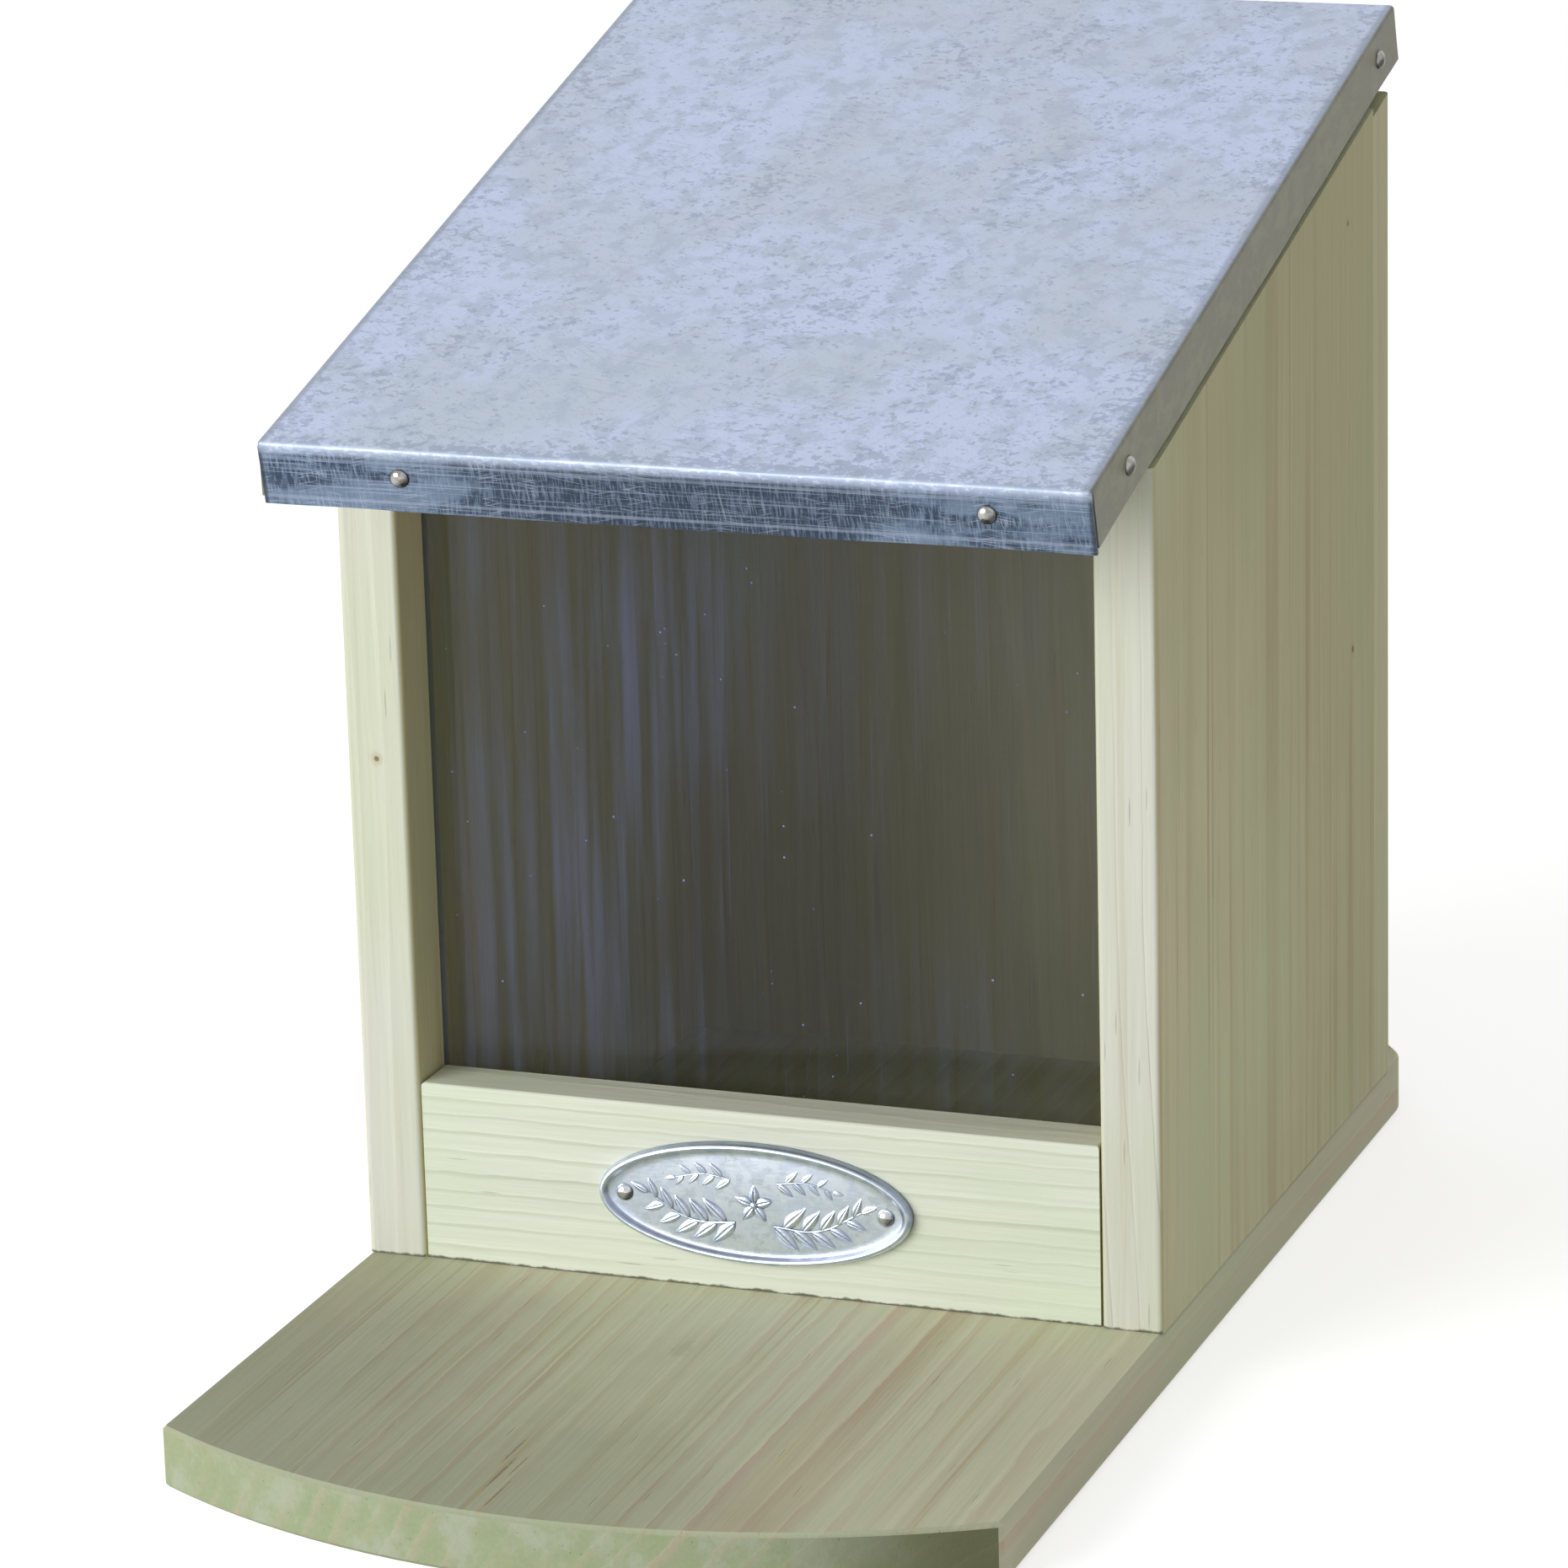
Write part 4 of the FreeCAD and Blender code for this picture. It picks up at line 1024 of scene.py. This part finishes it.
def sprig_tree():
    """Sets leaves by turns on both sides of a stem that thins towards its tip."""
    tree, pen, given = new_tree("leaf sprig", "Geometry", {
        "Geometry": ("Stem",), "Object": ("Leaf",), "Int": ("Leaves",), "Material": ("Finish",),
        "Float": ("Spread", "Stem Radius", "Leaf Size", "Tip Share"),
    }, {"Geometry": ("Sprig",)})
    share = pen.add("GeometryNodeSplineParameter").outputs["Factor"]
    tangent = pen.parts(pen.shape("InputTangent"))
    heading = pen.math("ARCTAN2", tangent[1], tangent[0])
    stored = given["Stem"]
    for name, value in (("heading", heading), ("share", share)):
        inputs = {"Geometry": stored, "Name": name, "Value": value}
        stored = pen.shape("StoreNamedAttribute", inputs, data_type="FLOAT", domain="POINT")
    inputs = {"Curve": stored, "Count": given["Leaves"]}
    points = pen.shape("CurveToPoints", inputs, mode="COUNT")
    along, nearer = (
        pen.shape("InputNamedAttribute", {"Name": name}, data_type="FLOAT")
        for name in ("heading", "share")
    )
    index = pen.shape("InputIndex")
    hand = pen.less(pen.times(pen.math("MODULO", index, 2.0), 2.0), 1.0)
    last = pen.math("COMPARE", index, pen.less(given["Leaves"], 1.0), 0.1)
    hand = pen.times(hand, pen.less(1.0, last))
    angle = pen.total(along, pen.times(hand, given["Spread"]))
    turn = pen.joined(0.0, 0.0, angle)
    size = pen.times(given["Leaf Size"], pen.blend(nearer, 1.0, given["Tip Share"]))
    leaf = pen.add("GeometryNodeObjectInfo", {"Object": given["Leaf"]}).outputs["Geometry"]
    inputs = {"Points": points, "Instance": leaf, "Scale": pen.joined(size, size, size)}
    inputs["Rotation"] = pen.one("FunctionNodeEulerToRotation", {0: turn})
    leaves = pen.shape("InstanceOnPoints", inputs)
    leaves = pen.shape("RealizeInstances", {0: leaves})
    circle = {"Resolution": STEM_SIDES, "Radius": 1.0}
    ring = pen.shape("CurvePrimitiveCircle", circle, mode="RADIUS")
    thick = pen.times(given["Stem Radius"], pen.blend(share, 1.0, STEM_TIP_SHARE))
    stem = pen.shape("SetCurveRadius", {"Curve": given["Stem"], "Radius": thick})
    inputs = {"Curve": stem, "Profile Curve": ring, "Fill Caps": True, "Scale": thick}
    both = pen.add("GeometryNodeJoinGeometry")
    for part in (pen.shape("CurveToMesh", inputs), leaves):
        pen.feed(both.inputs[0], part)
    inputs = {0: both.outputs[0], "Material": given["Finish"]}
    pen.add("NodeGroupOutput", {0: pen.shape("SetMaterial", inputs)})
    return tree


def leaf_sprig(tree, leaf, finish, stations, leaves, size):
    """One sprig that grows to the right through its stations, in millimetres."""
    curve = bpy.data.curves.new("stem", "CURVE")
    curve.dimensions = "3D"
    spline = curve.splines.new("BEZIER")
    spline.bezier_points.add(len(stations) - 1)
    for point, (x, y) in zip(spline.bezier_points, stations):
        point.co = (x, y, STEM_LIFT)
        point.handle_left_type = point.handle_right_type = "AUTO"
    return grown("stem", curve, tree, {
        "Leaf": leaf, "Leaves": leaves, "Leaf Size": size, "Stem Radius": STEM_RADIUS * size,
        "Spread": SPRIG_SPREAD, "Tip Share": LEAF_TIP_SHARE, "Finish": finish,
    })


def badge_plate_mesh(half_length, half_height):
    """The oval plate with its rolled rim: X along, Y up, Z out of the board."""
    bm = bmesh.new()
    turns = [2 * math.pi * index / BADGE_RINGS for index in range(BADGE_RINGS)]

    def inset(turn, trim):
        outline = Vector((half_length * math.cos(turn), half_height * math.sin(turn), 0))
        out = Vector((math.cos(turn) / half_length, math.sin(turn) / half_height, 0)).normalized()
        return outline - out * trim

    def field(point):
        share = (point.x / half_length) ** 2 + (point.y / half_height) ** 2
        dent = BADGE_DENT * ripple(point.x, point.y, BADGE_DENT_LENGTH, DENT_SEED) * (1 - share)
        return BADGE_FIELD + BADGE_CROWN * max(0.0, 1 - share * BADGE_CROWN_FALL) + dent

    rings = [
        [bm.verts.new(inset(turn, trim) + Vector((0, 0, height))) for turn in turns]
        for trim, height in BADGE_RIM
    ]
    for step in range(1, BADGE_FIELD_STEPS):
        ring = []
        for turn in turns:
            point = inset(turn, BADGE_RIM[-1][0]) * (1 - step / BADGE_FIELD_STEPS)
            point.z = field(point)
            ring.append(bm.verts.new(point))
        rings.append(ring)
    rings = [ring + ring[:1] for ring in rings]
    for outer, inner in zip(rings, rings[1:]):
        for corners in zip(outer, outer[1:], inner[1:], inner):
            bm.faces.new(corners)
    middle = bm.verts.new(Vector((0, 0, field(Vector((0, 0, 0))))))
    back = bm.verts.new(Vector((0, 0, BADGE_RIM[0][1])))
    for first, second, third, fourth in zip(rings[-1], rings[-1][1:], rings[0][1:], rings[0]):
        bm.faces.new((first, second, middle))
        bm.faces.new((third, fourth, back))
    bmesh.ops.recalc_face_normals(bm, faces=bm.faces)
    return bm, field


def badge(finish):
    """The oval plate with four leaf sprigs and a blossom, in place of the CAD plate."""
    low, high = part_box("badge_plate")
    centre = (low + high) / 2
    bm, field = badge_plate_mesh((high.x - low.x) / 2 / MM, (high.z - low.z) / 2 / MM)
    leaf = leaf_mesh()
    pattern = linked("leaf", leaf)
    tree = sprig_tree()
    relief = bmesh.new()
    for stations, leaves, size in SPRIGS:
        relief.from_mesh(leaf_sprig(tree, pattern, finish, stations, leaves, size))
    bpy.data.objects.remove(pattern)
    mirrored = relief.copy()
    bmesh.ops.scale(mirrored, vec=(-1, 1, 1), verts=mirrored.verts)
    bmesh.ops.reverse_faces(mirrored, faces=mirrored.faces)
    blossom = bmesh.new()
    for petal in range(PETALS):
        turn = Matrix.Rotation(math.pi / 2 + 2 * math.pi * petal / PETALS, 4, "Z")
        copied = leaf.copy()
        turn = turn @ Matrix.Translation((PETAL_START, 0, 0))
        copied.transform(turn @ Matrix.Diagonal(PETAL_SIZE))
        blossom.from_mesh(copied)
    bud = bmesh.new()
    sides, steps = BUD_CELLS
    bmesh.ops.create_uvsphere(bud, u_segments=sides, v_segments=steps, radius=BUD_RADIUS)
    for part in (relief, mirrored, blossom, bud):
        for vertex in part.verts:
            vertex.co.z += field(vertex.co)
        bm.from_mesh(mesh_of(part, "relief"))
    whole = mesh_of(bm, "badge_oval")
    placing = Matrix.Translation((centre.x, high.y, centre.z)) @ Matrix.Scale(MM, 4)
    whole.transform(placing @ Matrix.Rotation(math.pi / 2, 4, "X"))
    whole.materials.clear()
    whole.materials.append(finish)
    for polygon in whole.polygons:
        polygon.material_index = 0
    new_piece("badge_oval", whole, "box", "badge_aluminium", "badge_plate", smooth_below=50)


# Stage, light and camera

def aim(item, place, way, roll=0.0):
    """Puts a lamp or a camera at a place and turns it so that it looks one way."""
    item.location = place
    item.rotation_mode = "QUATERNION"
    item.rotation_quaternion = way.to_track_quat("-Z", "Y") @ Quaternion((0, 0, 1), roll)


def shown_white(pen, lit, glow):
    """A strength that is glow where the camera, mirrors and clear pieces see it, else lit."""
    path = pen.add("LightPath").outputs
    seen = pen.math("MAXIMUM", path["Is Camera Ray"], path["Is Glossy Ray"])
    seen = pen.math("MAXIMUM", seen, path["Is Transmission Ray"])
    return pen.blend(seen, lit, glow)


def studio():
    """A pale floor that keeps the shadow, a white surround and one soft lamp."""
    material, pen = new_material("pale floor")
    soft = pen.noise(pen.add("TexCoord").outputs["Object"], (3.0, 3.0, 3.0))
    pale = pen.toned((FLOOR_PALE,) * 3, pen.swing(1.0, (soft, 0.02)))
    paper = pen.one("BsdfDiffuse", {"Color": pale})
    glow = pen.one("Emission", {"Strength": shown_white(pen, 0.0, FLOOR_GLOW)})
    pen.surface(pen.one("AddShader", {0: glow, 1: paper}))
    mesh = bpy.data.meshes.new("floor")
    corners = [(x * FLOOR_HALF, y * FLOOR_HALF, 0) for x, y in ((-1, -1), (1, -1), (1, 1), (-1, 1))]
    mesh.from_pydata(corners, [], [(0, 1, 2, 3)])
    mesh.materials.append(material)
    floor = linked("floor", mesh)

    world = bpy.data.worlds.new("white surround")
    world.use_nodes = True
    world.node_tree.nodes.clear()
    pen = Recipe(world.node_tree)
    white = {"Color": (1, 1, 1), "Strength": shown_white(pen, WORLD_FILL, 1.0)}
    pen.add("OutputWorld", {"Surface": pen.one("Background", white)})
    bpy.context.scene.world = world

    lamp = bpy.data.lights.new("key lamp", "AREA")
    lamp.shape = "DISK"
    lamp.size = KEY_SIZE
    lamp.energy = KEY_POWER
    key = linked("key lamp", lamp)
    key.visible_camera = False
    level = math.cos(KEY_ELEVATION)
    way = Vector((math.sin(KEY_AZIMUTH) * level, -math.cos(KEY_AZIMUTH) * level,
                  math.sin(KEY_ELEVATION)))
    aim(key, KEY_AIM + way * KEY_DISTANCE, -way)


def photographer():
    """The camera at the photograph's angle."""
    data = bpy.data.cameras.new("camera")
    data.sensor_width = CAMERA_SENSOR
    data.lens = CAMERA_LENS
    data.clip_start = CAMERA_NEAR
    data.clip_end = CAMERA_FAR
    camera = linked("camera", data)
    aim(camera, CAMERA_PLACE, CAMERA_AIM - CAMERA_PLACE, CAMERA_ROLL)
    bpy.context.scene.camera = camera


# The feeder

photographer()
studio()
bpy.context.scene.view_settings.view_transform = "Standard"
dress_boards()
dress("window_pane", clear_window())
metals = {name: bright_metal(name, *numbers) for name, numbers in METALS.items()}
roof_cap()
nails_and_pins(metals["nail steel"], metals["rivet steel"])
badge(metals["badge aluminium"])
dress("back_board_nails", metals["nail steel"])
for node in ("hinge_fixed_leaves", "hinge_moving_leaves", "hinge_pins"):
    dress(node, metals["zinc plated steel"])
for node in ("hinge_body_screws", "hinge_roof_screws", "base_screws"):
    dress(node, metals["zinc plated screws"])
